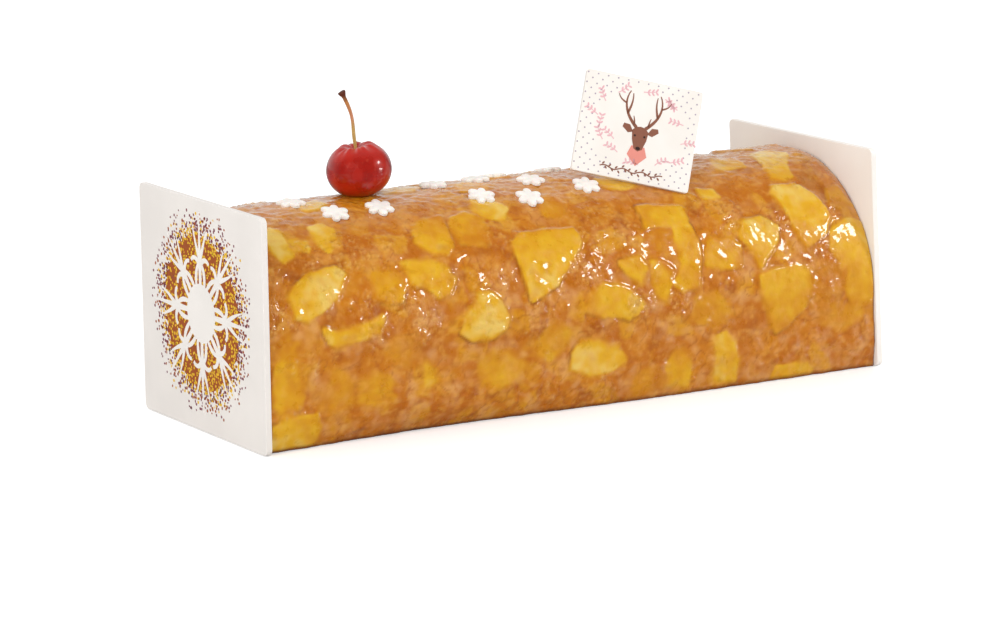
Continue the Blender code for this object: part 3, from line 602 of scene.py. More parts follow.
class Nodes:
    """A material's node tree, with short calls for the nodes used here."""

    def __init__(self, name):
        self.material = bpy.data.materials.new(name)
        self.material.use_nodes = True
        self.tree = self.material.node_tree
        self.shader = self.tree.nodes["Principled BSDF"]

    def put(self, socket, value):
        if isinstance(value, bpy.types.NodeSocket):
            self.tree.links.new(value, socket)
        else:
            socket.default_value = value

    def surface(self, **values):
        for key, value in values.items():
            self.put(self.shader.inputs[key.replace("_", " ").title().replace("Ior", "IOR")], value)

    def place(self):
        return self.tree.nodes.new("ShaderNodeTexCoord").outputs["Object"]

    def attribute(self, name):
        node = self.tree.nodes.new("ShaderNodeAttribute")
        node.attribute_name = name
        return node.outputs["Fac"]

    def noise(self, place, scale, detail=2.0, rough=0.5, stretch=None):
        if stretch:
            mapping = self.tree.nodes.new("ShaderNodeMapping")
            mapping.inputs["Scale"].default_value = stretch
            self.put(mapping.inputs["Vector"], place)
            place = mapping.outputs["Vector"]
        node = self.tree.nodes.new("ShaderNodeTexNoise")
        self.put(node.inputs["Vector"], place)
        node.inputs["Scale"].default_value = scale
        node.inputs["Detail"].default_value = detail
        node.inputs["Roughness"].default_value = rough
        return node.outputs["Fac"]

    def math(self, operation, a, b=0.0, clamp=False):
        node = self.tree.nodes.new("ShaderNodeMath")
        node.operation = operation
        node.use_clamp = clamp
        self.put(node.inputs[0], a)
        self.put(node.inputs[1], b)
        return node.outputs[0]

    def mapped(self, value, low, high, to_low=0.0, to_high=1.0):
        node = self.tree.nodes.new("ShaderNodeMapRange")
        node.interpolation_type = "SMOOTHSTEP"
        self.put(node.inputs["Value"], value)
        for key, number in (("From Min", low), ("From Max", high), ("To Min", to_low), ("To Max", to_high)):
            node.inputs[key].default_value = number
        return node.outputs["Result"]

    def mix(self, factor, a, b):
        node = self.tree.nodes.new("ShaderNodeMix")
        node.data_type = "RGBA"
        self.put(node.inputs[0], factor)
        self.put(node.inputs[6], a)
        self.put(node.inputs[7], b)
        return node.outputs[2]

    def ramp(self, value, *stops):
        node = self.tree.nodes.new("ShaderNodeValToRGB")
        elements = node.color_ramp.elements
        while len(elements) < len(stops):
            elements.new(0.5)
        for element, (at, colour) in zip(elements, stops):
            element.position = at
            element.color = colour
        self.put(node.inputs["Fac"], value)
        return node.outputs["Color"]

    def bump(self, height, strength, distance):
        node = self.tree.nodes.new("ShaderNodeBump")
        node.inputs["Strength"].default_value = strength
        node.inputs["Distance"].default_value = distance
        self.put(node.inputs["Height"], height)
        self.put(self.shader.inputs["Normal"], node.outputs["Normal"])
        return node.outputs["Normal"]


def jelly_material():
    n = Nodes("fruit in amber jelly")
    place = n.place()
    middle, fine = n.noise(place, 260, 3), n.noise(place, 900, 2)
    painted = n.tree.nodes.new("ShaderNodeAttribute")
    painted.attribute_name = "painted"
    colour = painted.outputs["Color"]
    colour = n.mix(n.mapped(middle, 0.50, 0.74, 0, 0.34), colour, srgb(232, 168, 72))
    colour = n.mix(n.mapped(middle, 0.46, 0.24, 0, 0.24), colour, srgb(172, 92, 12))
    n.surface(base_color=colour, roughness=n.mapped(middle, 0.3, 0.7, 0.26, 0.44))
    n.surface(coat_weight=1.0, coat_roughness=0.06, coat_ior=1.42, specular_ior_level=0.22)
    n.surface(subsurface_weight=0.15, subsurface_scale=0.0015)
    n.shader.inputs["Subsurface Radius"].default_value = (1.0, 0.55, 0.2)
    grain = n.math("MULTIPLY", fine, n.math("ADD", n.attribute("pulp"), 0.22))
    n.bump(n.math("ADD", grain, n.math("MULTIPLY", middle, 0.6)), 0.4, 0.0006)
    return n.material


def new_object(name, mesh, material, replaces=()):
    if material is not None:
        mesh.materials.append(material)
    obj = bpy.data.objects.new(name, mesh)
    bpy.context.scene.collection.objects.link(obj)
    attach(obj, BODY)
    if replaces:
        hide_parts(*replaces)
    return obj


def build_log():
    along, over, x, y, z, out_y, out_z = log_base()
    height, painted, pulp = log_surface(along, over)
    y = y + out_y * height
    z = np.maximum(z + out_z * height, 0)
    mesh = skin_grid_mesh("log_fruit_jelly", x, y, z, {"painted": painted, "pulp": pulp})
    new_object("log_fruit_jelly", mesh, jelly_material(), ("log",))


# ---- plates ---------------------------------------------------------------------------------------
PRINT_CENTRE = 41.0
FIELD_RADIUS = 27.0
DOTS_END = 38.0
DISC_RADIUS = 10.2
STAR_ARMS, ARM_STEPS = 8, 12
FLECK_PITCH, FLECK_ROWS = 1.12, 34
RIM_STEPS = 180
# Two copies of one white: the left plate's is a little darker as painted shade, the right one's brighter and
# warmer as painted light bounced off the log.
PLATE_LIT_AND_SHADED_TONES = {
    "left": (srgb(236, 230, 224), srgb(241, 235, 229)),
    "right": (srgb(250, 244, 237), srgb(253, 248, 242)),
}


def plate_material(name, cool, warm):
    n = Nodes(name)
    place = n.place()
    cloud = n.noise(place, 40, 2)
    colour = n.mix(n.mapped(cloud, 0.3, 0.7), cool, warm)
    n.surface(base_color=colour, roughness=n.mapped(cloud, 0.3, 0.7, 0.3, 0.42), specular_ior_level=0.35)
    n.bump(n.noise(place, 160, 2), 0.08, 0.0005)
    return n.material


class PlateDrawing:
    """Thin printed shapes on a plate's outer face, drawn in mm across and up from the print's centre."""

    def __init__(self):
        self.built = bmesh.new()

    def prism(self, outline, thick, faces=None):
        top = [self.built.verts.new((-thick, y, z)) for y, z in outline]
        bottom = [self.built.verts.new((0, y, z)) for y, z in outline]
        for face in faces or [range(len(outline))]:
            self.built.faces.new([top[i] for i in face])
            self.built.faces.new([bottom[i] for i in face][::-1])
        for k in range(len(outline)):
            m = (k + 1) % len(outline)
            self.built.faces.new((top[m], top[k], bottom[k], bottom[m]))

    def round(self, y, z, radius, thick, sides=7, turn=0.0, squash=1.0):
        self.prism(oval(y, z, radius, sides, squash, turn), thick)

    def ribbon(self, path, widths, thick):
        left, right = [], []
        for k, (y, z) in enumerate(path):
            ay, az = path[max(k - 1, 0)]
            by, bz = path[min(k + 1, len(path) - 1)]
            size = math.hypot(by - ay, bz - az) or 1.0
            ny, nz = -(bz - az) / size * widths[k] / 2, (by - ay) / size * widths[k] / 2
            left.append((y + ny, z + nz))
            right.append((y - ny, z - nz))
        count = 2 * len(left)
        quads = [(k, k + 1, count - 2 - k, count - 1 - k) for k in range(len(left) - 1)]
        self.prism(left + right[::-1], thick, quads)

    def finish(self, name, material, slot, place):
        bmesh.ops.recalc_face_normals(self.built, faces=self.built.faces)
        mesh = bpy.data.meshes.new(name)
        self.built.to_mesh(mesh)
        self.built.free()
        mesh.transform(place @ Matrix.Scale(MM, 4) @ Matrix.Translation((0, 0, PRINT_CENTRE)))
        new_object(name, mesh, material)


def curled(start, heading, length, curl, steps=9):
    """A path from start that turns steadily by curl over its length."""
    y, z = start
    path = [(y, z)]
    for k in range(steps):
        turn = heading + curl * ((k + 0.5) / steps) ** 1.5
        y += length / steps * math.cos(turn)
        z += length / steps * math.sin(turn)
        path.append((y, z))
    return path


def tapered(widest, least, steps=9, swell=0.0):
    shares = [k / steps for k in range(steps + 1)]
    return [widest + (least - widest) * share + swell * math.sin(math.pi * share) for share in shares]


def draw_star(drawing):
    """A white eight-armed snow star: a disc, tapering arms, and curled and straight side shoots."""
    drawing.round(0, 0, DISC_RADIUS, 0.135, 56)
    # An arm is widest where its hooks leave it, and thins towards its tip.
    knots = range(ARM_STEPS + 1)
    trunk_widths = [1.8 + 0.5 * math.exp(-(((k - 3.6) / 1.6) ** 2)) - 1.2 * max(0, (k - 5) / 7) for k in knots]
    for arm in range(STAR_ARMS):
        aim = math.pi / 2 + 2 * math.pi / STAR_ARMS * arm
        lift = 0.004 * (arm % 2)

        def at(radius, swing=0.0):
            return (radius * math.cos(aim + swing), radius * math.sin(aim + swing))

        trunk = [at(9 + 26 * k / ARM_STEPS) for k in knots]
        drawing.ribbon(trunk, trunk_widths, 0.125 + lift)
        for side in (-1, 1):
            step = lift + 0.002 * side
            root = curled(at(9.6, side * 0.31), aim + side * 0.10, 8.6, -side * 0.85)
            drawing.ribbon(root, tapered(1.2, 1.1, swell=0.6), 0.115 + step)
            hook = curled(at(15.6), aim + side * 0.45, 8.2, side * 2.1)
            drawing.ribbon(hook, tapered(2.2, 1.2), 0.105 + step)
            spike = curled(at(18.4), aim + side * 0.52, 12.5, -side * 0.30)
            drawing.ribbon(spike, tapered(2.1, 0.4), 0.095 + step)


def build_prints(side, place, plain, inks):
    """Brown field, scattered flecks of gold, brown and plum, and the white star over them."""
    rng = np.random.default_rng(81)
    brown, gold, plum, star = (PlateDrawing() for _ in range(4))
    turns = np.arange(RIM_STEPS) * 2 * np.pi / RIM_STEPS
    rim = FIELD_RADIUS + 1.8 * noise(np.cos(turns) * 30, np.sin(turns) * 30, 3.0, 82)
    brown.prism([(r * math.cos(turn), r * math.sin(turn)) for r, turn in zip(rim.tolist(), turns.tolist())], 0.03)
    for row in range(-FLECK_ROWS, FLECK_ROWS + 1):
        for column in range(-FLECK_ROWS, FLECK_ROWS + 1):
            y = (column + (row % 2) / 2) * FLECK_PITCH + rng.normal(0, 0.2)
            z = row * FLECK_PITCH * 0.9 + rng.normal(0, 0.2)
            radius = math.hypot(y, z)
            chance, ink, size = rng.random(), rng.random(), rng.uniform(0.27, 0.43)
            turn, squash = rng.uniform(0, 3.1), rng.uniform(0.65, 1.0)
            if radius < DISC_RADIUS or radius > DOTS_END:
                continue
            outward = (radius - FIELD_RADIUS) / (DOTS_END - FIELD_RADIUS)
            if outward < 0:
                if chance < 0.52:
                    gold.round(y, z, size * 1.55, 0.045, 7, turn, squash)
                elif chance < 0.54:
                    plum.round(y, z, size, 0.045, 7, turn, squash)
                continue
            if chance > 0.95 * (1 - outward) ** 1.3 + 0.05:
                continue
            shade = gold if ink < 0.42 * (1 - outward) else brown if ink < 0.62 - 0.2 * outward else plum
            shade.round(y, z, size * (1.8 - 0.5 * outward), 0.05, 7, turn, squash)
    draw_star(star)
    for drawing, ink in ((brown, "brown"), (gold, "gold"), (plum, "plum")):
        drawing.finish(f"{side}_plate_print_{ink}", inks[ink], f"print_{ink}", place)
    star.finish(f"{side}_plate_snow_star", plain, "plate_white", place)


def build_plates():
    plain = plate_material("plate star white", srgb(240, 235, 229), srgb(245, 240, 234))
    inks = {
        "brown": plain_material("print brown", srgb(172, 84, 24), 0.4, 0.25),
        "gold": plain_material("print gold", srgb(246, 196, 44), 0.4, 0.2),
        "plum": plain_material("print plum", srgb(134, 66, 80), 0.4, 0.2),
    }
    for side in ("left", "right"):
        node = NODES[f"end_plate_{side}"]
        material = plate_material(f"{side} plate white", *PLATE_LIT_AND_SHADED_TONES[side])
        for held in node.material_slots:
            held.material = material
        if not node.material_slots:
            node.data.materials.append(material)
        if side == "left":
            place = Matrix.Translation((X_LEFT, 0, 0))
        else:
            lean = Matrix.Rotation(-LEAN, 4, "Y")
            inner_face = Matrix.Translation((X_LEFT + SPAN * MM, 0, 0)) @ lean
            place = inner_face @ Matrix.Translation((PLATE * MM, 0, 0)) @ Matrix.Rotation(math.pi, 4, "Z")
        build_prints(side, place, plain, inks)


# ---- cherry ---------------------------------------------------------------------------------------
CHERRY_X = -64.1
CHERRY_HEIGHT = 84.2
CHERRY_LEAN = math.radians(-8)
CHERRY_SIDES, CHERRY_RINGS = 128, 84


def cherry_material():
    n = Nodes("wet cherry skin")
    place = n.place()
    blush = n.noise(place, 95, 3)
    colour = n.mix(n.mapped(blush, 0.32, 0.68), srgb(150, 16, 6), srgb(186, 30, 10))
    apart = n.tree.nodes.new("ShaderNodeSeparateXYZ")
    n.put(apart.inputs[0], place)
    east = n.mapped(apart.outputs[0], -0.060, -0.0535)
    colour = n.mix(n.math("MULTIPLY", east, 0.6), colour, srgb(146, 16, 30))
    # Painted shade: the lower part of the cherry is darkened.
    low = n.mapped(apart.outputs[2], 0.0745, 0.080, 1.0, 0.0)
    colour = n.mix(n.math("MULTIPLY", low, 0.5), colour, srgb(112, 8, 4))
    # Painted sheen: a paler pink band round the crown.
    rim = n.mapped(apart.outputs[2], 0.0885, 0.0930)
    colour = n.mix(n.math("MULTIPLY", rim, 0.35), colour, srgb(206, 70, 66))
    flecks = n.mapped(n.noise(place, 900, 2, stretch=(1, 1, 0.4)), 0.62, 0.72)
    colour = n.mix(n.math("MULTIPLY", flecks, 0.22), colour, srgb(214, 84, 60))
    n.surface(base_color=colour, roughness=n.mapped(blush, 0.3, 0.7, 0.2, 0.34))
    n.surface(coat_weight=0.6, coat_roughness=0.10, specular_ior_level=0.3)
    n.surface(subsurface_weight=0.1, subsurface_scale=0.002)
    n.shader.inputs["Subsurface Radius"].default_value = (1.0, 0.2, 0.1)
    n.bump(n.noise(place, 260, 2), 0.08, 0.0004)
    return n.material


def build_cherry():
    share = np.linspace(-0.5, 0.5, CHERRY_RINGS + 1)[1:-1, None] * np.pi
    turn = np.arange(CHERRY_SIDES)[None, :] * 2 * np.pi / CHERRY_SIDES
    radius = 11.2 * np.cos(share) ** np.where(share > 0, 0.80, 0.94) * np.ones_like(turn)
    height = 9.4 * np.sin(share) * np.ones_like(turn)
    upper = smooth(height, 2.0, 8.5)
    # Fine radial wrinkles gather round the dimple, and shallow dents break up the sides.
    pleats = 0.22 * np.sin(7 * turn + 0.8) + 0.14 * np.sin(13 * turn + 2.0) + 0.1 * np.sin(19 * turn)
    crown = np.exp(-(((radius - 5.6) / 2.3) ** 2)) * upper
    height = height - 2.2 * np.exp(-((radius / 3.2) ** 2)) * (share > 0)
    height = height + 0.10 * np.exp(-(((radius - 5.6) / 2.2) ** 2)) * upper
    creases = 0.22 * noise(radius * np.cos(turn), radius * np.sin(turn), 3.2, 51)
    height = height + crown * (1.1 * pleats + creases)
    dent = 0.10 * noise(turn * 9, height, 7.0, 52) + 0.05 * noise(turn * 9, height, 3.0, 53)
    dent = dent * (1 - smooth(turn / (2 * np.pi), 0.93, 1.0)) * smooth(turn / (2 * np.pi), 0.0, 0.07)
    radius = radius * (1 + 0.012 * np.cos(2 * turn + 0.6)) + dent
    rings = np.stack([radius * np.cos(turn), radius * np.sin(turn), height], -1)
    points = [(0, 0, -9.4), *rings.reshape(-1, 3).tolist(), (0, 0, 7.2)]
    count, rows = CHERRY_SIDES, rings.shape[0]
    faces = []
    for i in range(count):
        j = (i + 1) % count
        faces.append((0, 1 + j, 1 + i))
        for k in range(rows - 1):
            a, b = 1 + k * count + i, 1 + k * count + j
            faces.append((a, b, b + count, a + count))
        faces.append((1 + (rows - 1) * count + i, 1 + (rows - 1) * count + j, len(points) - 1))
    mesh = bpy.data.meshes.new("cherry_skin")
    mesh.from_pydata(points, [], faces)
    lean = Matrix.Rotation(CHERRY_LEAN, 4, "Y")
    mesh.transform(Matrix.Translation((CHERRY_X * MM, 0, CHERRY_HEIGHT * MM)) @ lean @ Matrix.Scale(MM, 4))
    mesh.shade_smooth()
    new_object("cherry_skin", mesh, cherry_material(), ("cherry",))


def stem_material():
    n = Nodes("cherry stalk")
    place = n.place()
    apart = n.tree.nodes.new("ShaderNodeSeparateXYZ")
    n.put(apart.inputs[0], place)
    along = n.mapped(apart.outputs[2], 0.090, 0.1125)
    colour = n.ramp(
        along,
        (0.0, srgb(196, 160, 92)),
        (0.35, srgb(190, 152, 84)),
        (0.6, srgb(198, 132, 98)),
        (0.90, srgb(190, 126, 70)),
        (0.985, srgb(96, 44, 30)),
    )
    streak = n.noise(place, 900, 2, stretch=(1, 1, 0.15))
    colour = n.mix(n.mapped(streak, 0.5, 0.72, 0, 0.35), colour, srgb(150, 100, 56))
    n.surface(base_color=colour, roughness=0.5, specular_ior_level=0.3)
    n.bump(streak, 0.25, 0.0003)
    return n.material


def build_stem():
    dimple = 9.4 - 2.2 + 0.2
    foot = Vector((CHERRY_X, 0, CHERRY_HEIGHT))
    foot += dimple * Vector((math.sin(CHERRY_LEAN), 0, math.cos(CHERRY_LEAN)))
    run = ((0.0, 0.0), (-0.7, 4.6), (-1.2, 10.0), (-2.4, 14.4), (-5.2, 20.3))
    knots = [foot + Vector((x, 0, z)) for x, z in run]
    centres = []
    for k in range(len(knots) - 1):
        before, after = knots[max(k - 1, 0)], knots[min(k + 2, len(knots) - 1)]
        a, b = knots[k], knots[k + 1]
        for i in range(10):
            t = i / 10
            linear, square = b - before, 2 * before - 5 * a + 4 * b - after
            cube = 3 * a - before - 3 * b + after
            centres.append(0.5 * (2 * a + linear * t + square * t * t + cube * t**3))
    centres.append(knots[-1])
    sides, points = 16, []
    for k, centre in enumerate(centres):
        ahead = (centres[min(k + 1, len(centres) - 1)] - centres[max(k - 1, 0)]).normalized()
        across, side = Vector((ahead.z, 0, -ahead.x)), Vector((0, 1, 0))
        share = k / (len(centres) - 1)
        radius = 0.60 + 0.08 * math.sin(share * 9) * share + 0.55 * float(smooth(share, 0.90, 0.97))
        for i in range(sides):
            angle = 2 * math.pi * i / sides
            lobes = 0.22 * float(smooth(share, 0.92, 1.0)) * math.cos(2 * angle)
            ripple = radius * (1 + 0.06 * math.sin(3 * angle + 5 * share) + lobes)
            points.append(centre + ripple * (math.cos(angle) * across + math.sin(angle) * side))
    faces = [tuple(range(sides))[::-1]]
    for k in range(len(centres) - 1):
        for i in range(sides):
            a, b = k * sides + i, k * sides + (i + 1) % sides
            faces.append((a, b, b + sides, a + sides))
    rim = len(points) - sides
    points.append(centres[-1] - 0.25 * (centres[-1] - centres[-2]).normalized())
    faces += [(rim + i, rim + (i + 1) % sides, len(points) - 1) for i in range(sides)]
    mesh = bpy.data.meshes.new("cherry_stalk")
    mesh.from_pydata([tuple(p * MM) for p in points], [], faces)
    mesh.shade_smooth()
    new_object("cherry_stalk", mesh, stem_material(), ("cherry_stem",))


# ---- snowflakes -----------------------------------------------------------------------------------
FLAKES = (
    (-34.3, -1.2, 5),
    (-16.4, -3.0, 22),
    (-5.8, -11.2, 40),
    (17.1, -10.9, 12),
    (0.8, 9.0, 33),
    (-24.1, 19.3, 0),
    (-7.0, 25.0, 18),
    (18.3, 20.6, 8),
    (-92.3, 3.5, 28),
    (-82.1, 19.8, 10),
    (-64.6, 19.4, 24),
)


def sugar_material():
    n = Nodes("pressed sugar")
    place = n.place()
    colour = n.mix(n.mapped(n.noise(place, 300, 3), 0.35, 0.65), srgb(244, 236, 228), srgb(251, 245, 238))
    n.surface(base_color=colour, roughness=0.62, specular_ior_level=0.25)
    n.surface(subsurface_weight=0.1, subsurface_scale=0.001)
    n.bump(n.noise(place, 2600, 2), 0.25, 0.0002)
    return n.material


def flake_form(rng):
    """Heights and places of one domed six-armed flake, its arms a little uneven."""
    rings, spokes = 9, 72
    arm_gain = 1 + rng.normal(0, 0.035, 6)
    points, faces = [(0, 0, 1.25)], []
    for r in range(1, rings + 1):
        share = r / rings
        for k in range(spokes):
            angle = 2 * math.pi * k / spokes
            arm = int(((angle + math.pi / 6) // (math.pi / 3)) % 6)
            off = (angle - arm * math.pi / 3 + math.pi) % (2 * math.pi) - math.pi
            lobe = math.cos(3 * off) ** 2
            edge = 3.2 + 2.1 * arm_gain[arm] * lobe**0.6 - 0.12 * lobe**6
            dome = 1.25 - 0.12 * share**2 - 0.10 * (1 - lobe) * share
            fall = max(0.0, (share - 0.72) / 0.28)
            height = dome - 0.62 * fall**2.2
            points.append((edge * share**0.9 * math.cos(angle), edge * share**0.9 * math.sin(angle), height))
    last = 1 + (rings - 1) * spokes
    base = len(points)
    for k in range(spokes):
        x, y, _ = points[last + k]
        points.append((x * 0.97, y * 0.97, -0.45))
    for k in range(spokes):
        m = (k + 1) % spokes
        faces.append((0, 1 + k, 1 + m))
        for r in range(rings - 1):
            a, b = 1 + r * spokes + k, 1 + r * spokes + m
            faces.append((a, a + spokes, b + spokes, b))
        faces.append((last + k, base + k, base + m, last + m))
    faces.append(tuple(range(base + spokes - 1, base - 1, -1)))
    return points, faces


def build_flakes():
    rng = np.random.default_rng(61)
    points, faces = [], []
    for x, degrees, spin in FLAKES:
        angle = math.radians(degrees)
        normal = Vector((0, -math.sin(angle), math.cos(angle)))
        along = Vector((1, 0, 0))
        across = normal.cross(along)
        turn = Matrix((along, across, normal)).transposed().to_4x4()
        place = Vector((x, -HALF * math.sin(angle), SPRING + ARCH * math.cos(angle))) + 0.2 * normal
        matrix = Matrix.Translation(place) @ turn @ Matrix.Rotation(math.radians(spin), 4, "Z")
        own_points, own_faces = flake_form(rng)
        shift = len(points)
        points += [tuple((matrix @ Vector(p)) * MM) for p in own_points]
        faces += [tuple(shift + i for i in face) for face in own_faces]
    mesh = bpy.data.meshes.new("sugar_snowflakes")
    mesh.from_pydata(points, [], faces)
    mesh.shade_smooth()
    mesh.set_sharp_from_angle(angle=math.radians(50))
    replaced = [f"snowflake_{k:02d}" for k in range(1, len(FLAKES) + 1)]
    new_object("sugar_snowflakes", mesh, sugar_material(), replaced)


# ---- plaque ---------------------------------------------------------------------------------------
PLAQUE_W, PLAQUE_H = 42.8, 37.4
PLAQUE_FOOT = Vector((34.7, -18.3, 73.1)) * MM
PLAQUE_TURN = (math.radians(-21.2), math.radians(14.6), math.radians(-19.0))


# Pink sprigs: place across, place up and heading in radians.
SPRIGS = (
    (-13, 27, 2.2), (-15, 21.5, 2.6), (-9, 31, 0.6), (0, 33, 0.1), (8, 32, -0.4),
    (13, 29, 2.8), (16, 24, 3.0), (16, 17, 0.4), (13, 9.5, 0.3), (8, 7.5, 0.9),
    (-6, 9.5, 2.5), (-12, 13, 2.2), (-14, 17, 1.6), (-8, 14, 2.4), (2, 6.5, 2.8),
)


def plaque_matrix():
    lean, roll, turn = PLAQUE_TURN
    spin = Matrix.Rotation(turn, 4, "Z") @ Matrix.Rotation(lean, 4, "X") @ Matrix.Rotation(roll, 4, "Y")
    return Matrix.Translation(PLAQUE_FOOT) @ spin


def plain_material(name, colour, roughness=0.5, vary=0.06):
    n = Nodes(name)
    place = n.place()
    darker = tuple(c * (1 - vary) for c in colour[:3]) + (1.0,)
    mottled = n.mix(n.noise(place, 500, 2), darker, colour)
    n.surface(base_color=mottled, roughness=roughness, specular_ior_level=0.3)
    return n.material


class FaceDrawing:
    """Thin printed shapes on the plaque's front face. Local X is right and local Z is up, in mm."""

    def __init__(self, name, colour, lift):
        self.name, self.colour, self.lift = name, colour, lift
        self.built = bmesh.new()

    def shape(self, outline):
        top = [self.built.verts.new((x, -self.lift, z)) for x, z in outline]
        bottom = [self.built.verts.new((x, 0.0, z)) for x, z in outline]
        self.built.faces.new(top)
        self.built.faces.new(bottom[::-1])
        for k in range(len(outline)):
            m = (k + 1) % len(outline)
            self.built.faces.new((top[m], top[k], bottom[k], bottom[m]))

    def dot(self, x, z, radius, sides=8, squash=1.0, turn=0.0):
        self.shape(oval(x, z, radius, sides, squash, turn))

    def stroke(self, path, wide, narrow):
        left, right = [], []
        for k, (x, z) in enumerate(path):
            ax, az = path[max(k - 1, 0)]
            bx, bz = path[min(k + 1, len(path) - 1)]
            size = math.hypot(bx - ax, bz - az) or 1.0
            w = (wide + (narrow - wide) * k / (len(path) - 1)) / 2
            nx, nz = -(bz - az) / size * w, (bx - ax) / size * w
            left.append((x + nx, z + nz))
            right.append((x - nx, z - nz))
        for k in range(len(path) - 1):
            self.shape([left[k], left[k + 1], right[k + 1], right[k]])

    def finish(self, slot):
        bmesh.ops.recalc_face_normals(self.built, faces=self.built.faces)
        mesh = bpy.data.meshes.new(self.name)
        self.built.to_mesh(mesh)
        self.built.free()
        mesh.transform(plaque_matrix() @ Matrix.Scale(MM, 4))
        new_object(self.name, mesh, plain_material(self.name, self.colour))


def mirrored(points, centre):
    return [(2 * centre - x, z) for x, z in points]


def build_plaque():
    n = Nodes("plaque off-white")
    place = n.place()
    cloud = n.noise(place, 70, 2)
    clouded = n.mix(n.mapped(cloud, 0.3, 0.7), srgb(246, 240, 232), srgb(250, 245, 238))
    n.surface(base_color=clouded, roughness=0.42)
    n.bump(n.noise(place, 300, 2), 0.06, 0.0004)
    node = NODES["plaque"]
    for held in node.material_slots:
        held.material = n.material
    if not node.material_slots:
        node.data.materials.append(n.material)

    dots = FaceDrawing("plaque_dots", srgb(176, 160, 176), 0.04)
    half, pitch = PLAQUE_W / 2, 3.68
    rows = int(PLAQUE_H / (pitch / 2))
    for row in range(1, rows + 1):
        z = row * pitch / 2 - 0.6
        for column in range(13):
            x = -half + 0.6 + column * pitch + (row % 2) * pitch / 2
            if x > half - 0.5 or z > PLAQUE_H - 0.5:
                continue
            in_oval = ((x - 0.5) / 17.2) ** 2 + ((z - 19.5) / 15.5) ** 2 < 1
            if not in_oval:
                dots.dot(x, z, 0.30)
    dots.finish("print_plum")

    rng = np.random.default_rng(71)
    pink = FaceDrawing("plaque_pink_sprigs", srgb(240, 188, 194), 0.05)
    for x, z, heading in SPRIGS:
        path = curled((x, z), heading, 5.2, rng.uniform(-1.2, 1.2), 7)
        pink.stroke(path, 0.34, 0.2)
        for k in range(2, 8, 2):
            px, pz = path[k]
            for side in (-1, 1):
                turn = heading + side * 0.9
                pink.dot(px + 0.8 * math.cos(turn), pz + 0.8 * math.sin(turn), 0.75, 8, 0.45, turn)
    pink.finish("print_pink")

    # A plain stag's head of simple shapes: neck, head, ears and two branching antlers.
    centre = 1.0
    coral = FaceDrawing("plaque_stag_neck", srgb(236, 150, 136), 0.05)
    neck = ((-3.6, 9.6), (0.0, 5.8), (3.6, 9.6), (2.4, 13.0), (-2.4, 13.0))
    coral.shape([(centre + x, z) for x, z in neck])
    brown = FaceDrawing("plaque_stag_head", srgb(146, 94, 74), 0.07)
    left_of_head = ((-3.0, 18.6), (-2.6, 15.4), (-1.5, 12.0), (0.0, 11.2))
    right_of_head = ((1.5, 12.0), (2.6, 15.4), (3.0, 18.6), (1.6, 20.0), (0.0, 20.3), (-1.6, 20.0))
    brown.shape([(centre + x, z) for x, z in left_of_head + right_of_head])
    ear = [(centre + x, z) for x, z in ((2.6, 18.0), (4.4, 17.4), (6.6, 19.2), (6.2, 20.6), (4.0, 20.4))]
    brown.shape(ear)
    brown.shape(mirrored(ear, centre)[::-1])
    beam = curled((centre + 1.7, 19.8), 0.75, 14.5, 1.35, 12)
    tine = curled(beam[5], 1.9, 7.5, -0.5, 7)
    second = curled(beam[8], 0.35, 4.5, 1.0, 6)
    brow = curled(beam[1], 1.5, 3.2, -0.3, 5)
    for path, wide, narrow in ((beam, 1.25, 0.35), (tine, 0.9, 0.3), (second, 0.7, 0.25), (brow, 0.7, 0.25)):
        brown.stroke(path, wide, narrow)
        brown.stroke(mirrored(path, centre), wide, narrow)
    # A plain wavy garland stands under the head.
    wave = [(-11.5 + 0.6 * k, 3.6 + 0.5 * math.sin(0.55 * k)) for k in range(39)]
    brown.stroke(wave, 0.42, 0.42)
    for k in range(2, 38, 4):
        x, z = wave[k]
        brown.dot(x, z + 0.75, 0.62, 8, 0.5, 0.9)
        brown.dot(x + 1.0, z - 0.75, 0.62, 8, 0.5, -0.9)
    brown.finish("print_brown")
    coral.finish("print_pink")
    dark = FaceDrawing("plaque_stag_marks", srgb(58, 40, 38), 0.09)
    dark.dot(centre, 12.3, 0.85, 10, 0.75)
    for side in (-1, 1):
        dark.dot(centre + side * 1.75, 16.8, 0.42, 8)
    dark.finish("print_brown")


# ---- stage ----------------------------------------------------------------------------------------


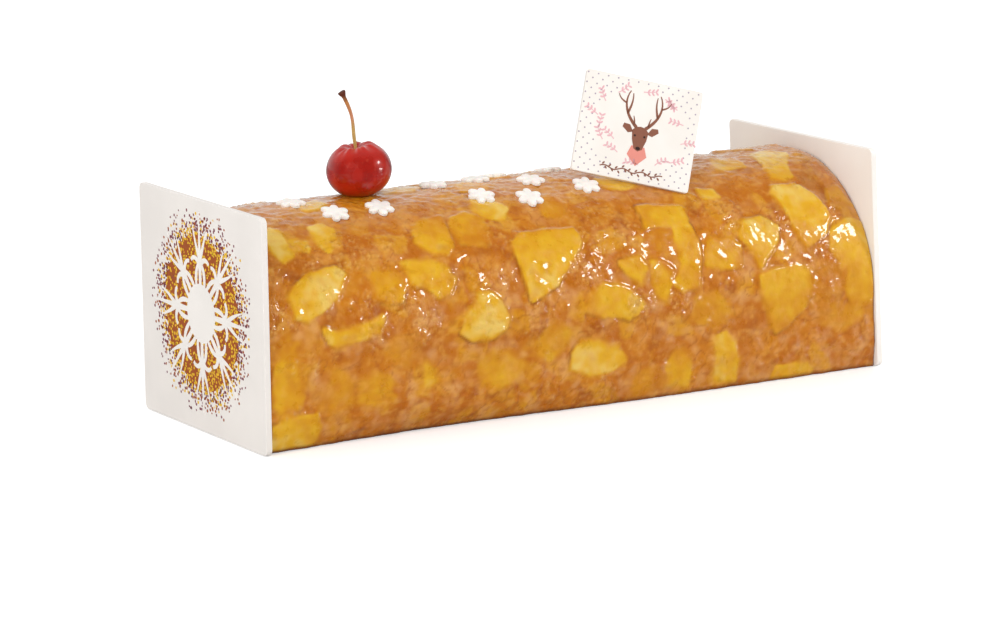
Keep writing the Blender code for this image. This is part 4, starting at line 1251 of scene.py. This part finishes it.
def build_stage():
    scene = bpy.context.scene
    scene.view_settings.view_transform = "Standard"
    world = bpy.data.worlds.new("studio white")
    scene.world = world
    world.use_nodes = True
    tree = world.node_tree
    background = tree.nodes["Background"]
    background.inputs["Color"].default_value = (1, 1, 1, 1)
    paths = tree.nodes.new("ShaderNodeLightPath")

    def switched(flag, off, on):
        node = tree.nodes.new("ShaderNodeMapRange")
        tree.links.new(paths.outputs[flag], node.inputs["Value"])
        for key, value in (("To Min", off), ("To Max", on)):
            if isinstance(value, float):
                node.inputs[key].default_value = value
            else:
                tree.links.new(value, node.inputs[key])
        return node.outputs["Result"]

    # Glossy rays meet a white backdrop behind the cake and a darker room in front of it.
    direction = tree.nodes.new("ShaderNodeTexCoord").outputs["Generated"]
    apart = tree.nodes.new("ShaderNodeSeparateXYZ")
    tree.links.new(direction, apart.inputs[0])
    behind = tree.nodes.new("ShaderNodeMapRange")
    behind.interpolation_type = "SMOOTHSTEP"
    tree.links.new(apart.outputs[1], behind.inputs["Value"])
    span = {"From Min": 0.1, "From Max": 0.8, "To Min": WORLD_GLOSS, "To Max": BACKDROP_GLOSS}
    for key, value in span.items():
        behind.inputs[key].default_value = value
    strength = switched("Is Glossy Ray", WORLD_LIGHT, behind.outputs["Result"])
    strength = switched("Is Transmission Ray", strength, 1.0)
    tree.links.new(switched("Is Camera Ray", strength, 1.0), background.inputs["Strength"])

    floor_mesh = bpy.data.meshes.new("floor")
    floor_mesh.from_pydata([(-3, -3, 0), (3, -3, 0), (3, 3, 0), (-3, 3, 0)], [], [(0, 1, 2, 3)])
    n = Nodes("white floor")
    paths = n.tree.nodes.new("ShaderNodeLightPath")
    pale = n.mix(paths.outputs["Is Glossy Ray"], (0.86, 0.86, 0.86, 1), (0.22, 0.22, 0.22, 1))
    n.surface(base_color=pale, roughness=0.35, specular_ior_level=0.3)
    lift = n.math("MULTIPLY", paths.outputs["Is Camera Ray"], FLOOR_LIFT)
    n.surface(emission_color=(1, 1, 1, 1), emission_strength=lift)
    floor_mesh.materials.append(n.material)
    floor = bpy.data.objects.new("floor", floor_mesh)
    floor.location.z = -0.0002
    scene.collection.objects.link(floor)

    for name, azimuth, elevation, distance, size, watts in LAMPS:
        lamp = bpy.data.lights.new(name, "AREA")
        lamp.shape = "RECTANGLE"
        lamp.size, lamp.size_y = size
        lamp.energy = watts
        obj = bpy.data.objects.new(name, lamp)
        obj.location = lamp_place(azimuth, elevation, distance)
        obj.rotation_euler = towards(azimuth, elevation).to_track_quat("Z", "Y").to_euler()
        obj.visible_glossy = name.endswith("key")
        scene.collection.objects.link(obj)


def build_camera():
    data = bpy.data.cameras.new("camera")
    data.sensor_width = 36.0
    data.lens = CAMERA["lens"]
    data.clip_start = 0.05
    camera = bpy.data.objects.new("camera", data)
    back, roll = camera_back(), math.radians(CAMERA["roll"])
    right = (-back).cross(Vector((0, 0, 1))).normalized()
    up = right.cross(-back)
    rolled_right = math.cos(roll) * right + math.sin(roll) * up
    rolled_up = -math.sin(roll) * right + math.cos(roll) * up
    turn = Matrix((rolled_right, rolled_up, back)).transposed().to_4x4()
    camera.matrix_world = Matrix.Translation(CAMERA_TARGET + back * CAMERA["distance"]) @ turn
    bpy.context.scene.collection.objects.link(camera)
    bpy.context.scene.camera = camera


build_log()
build_plates()
build_cherry()
build_stem()
build_flakes()
build_plaque()
build_stage()
build_camera()
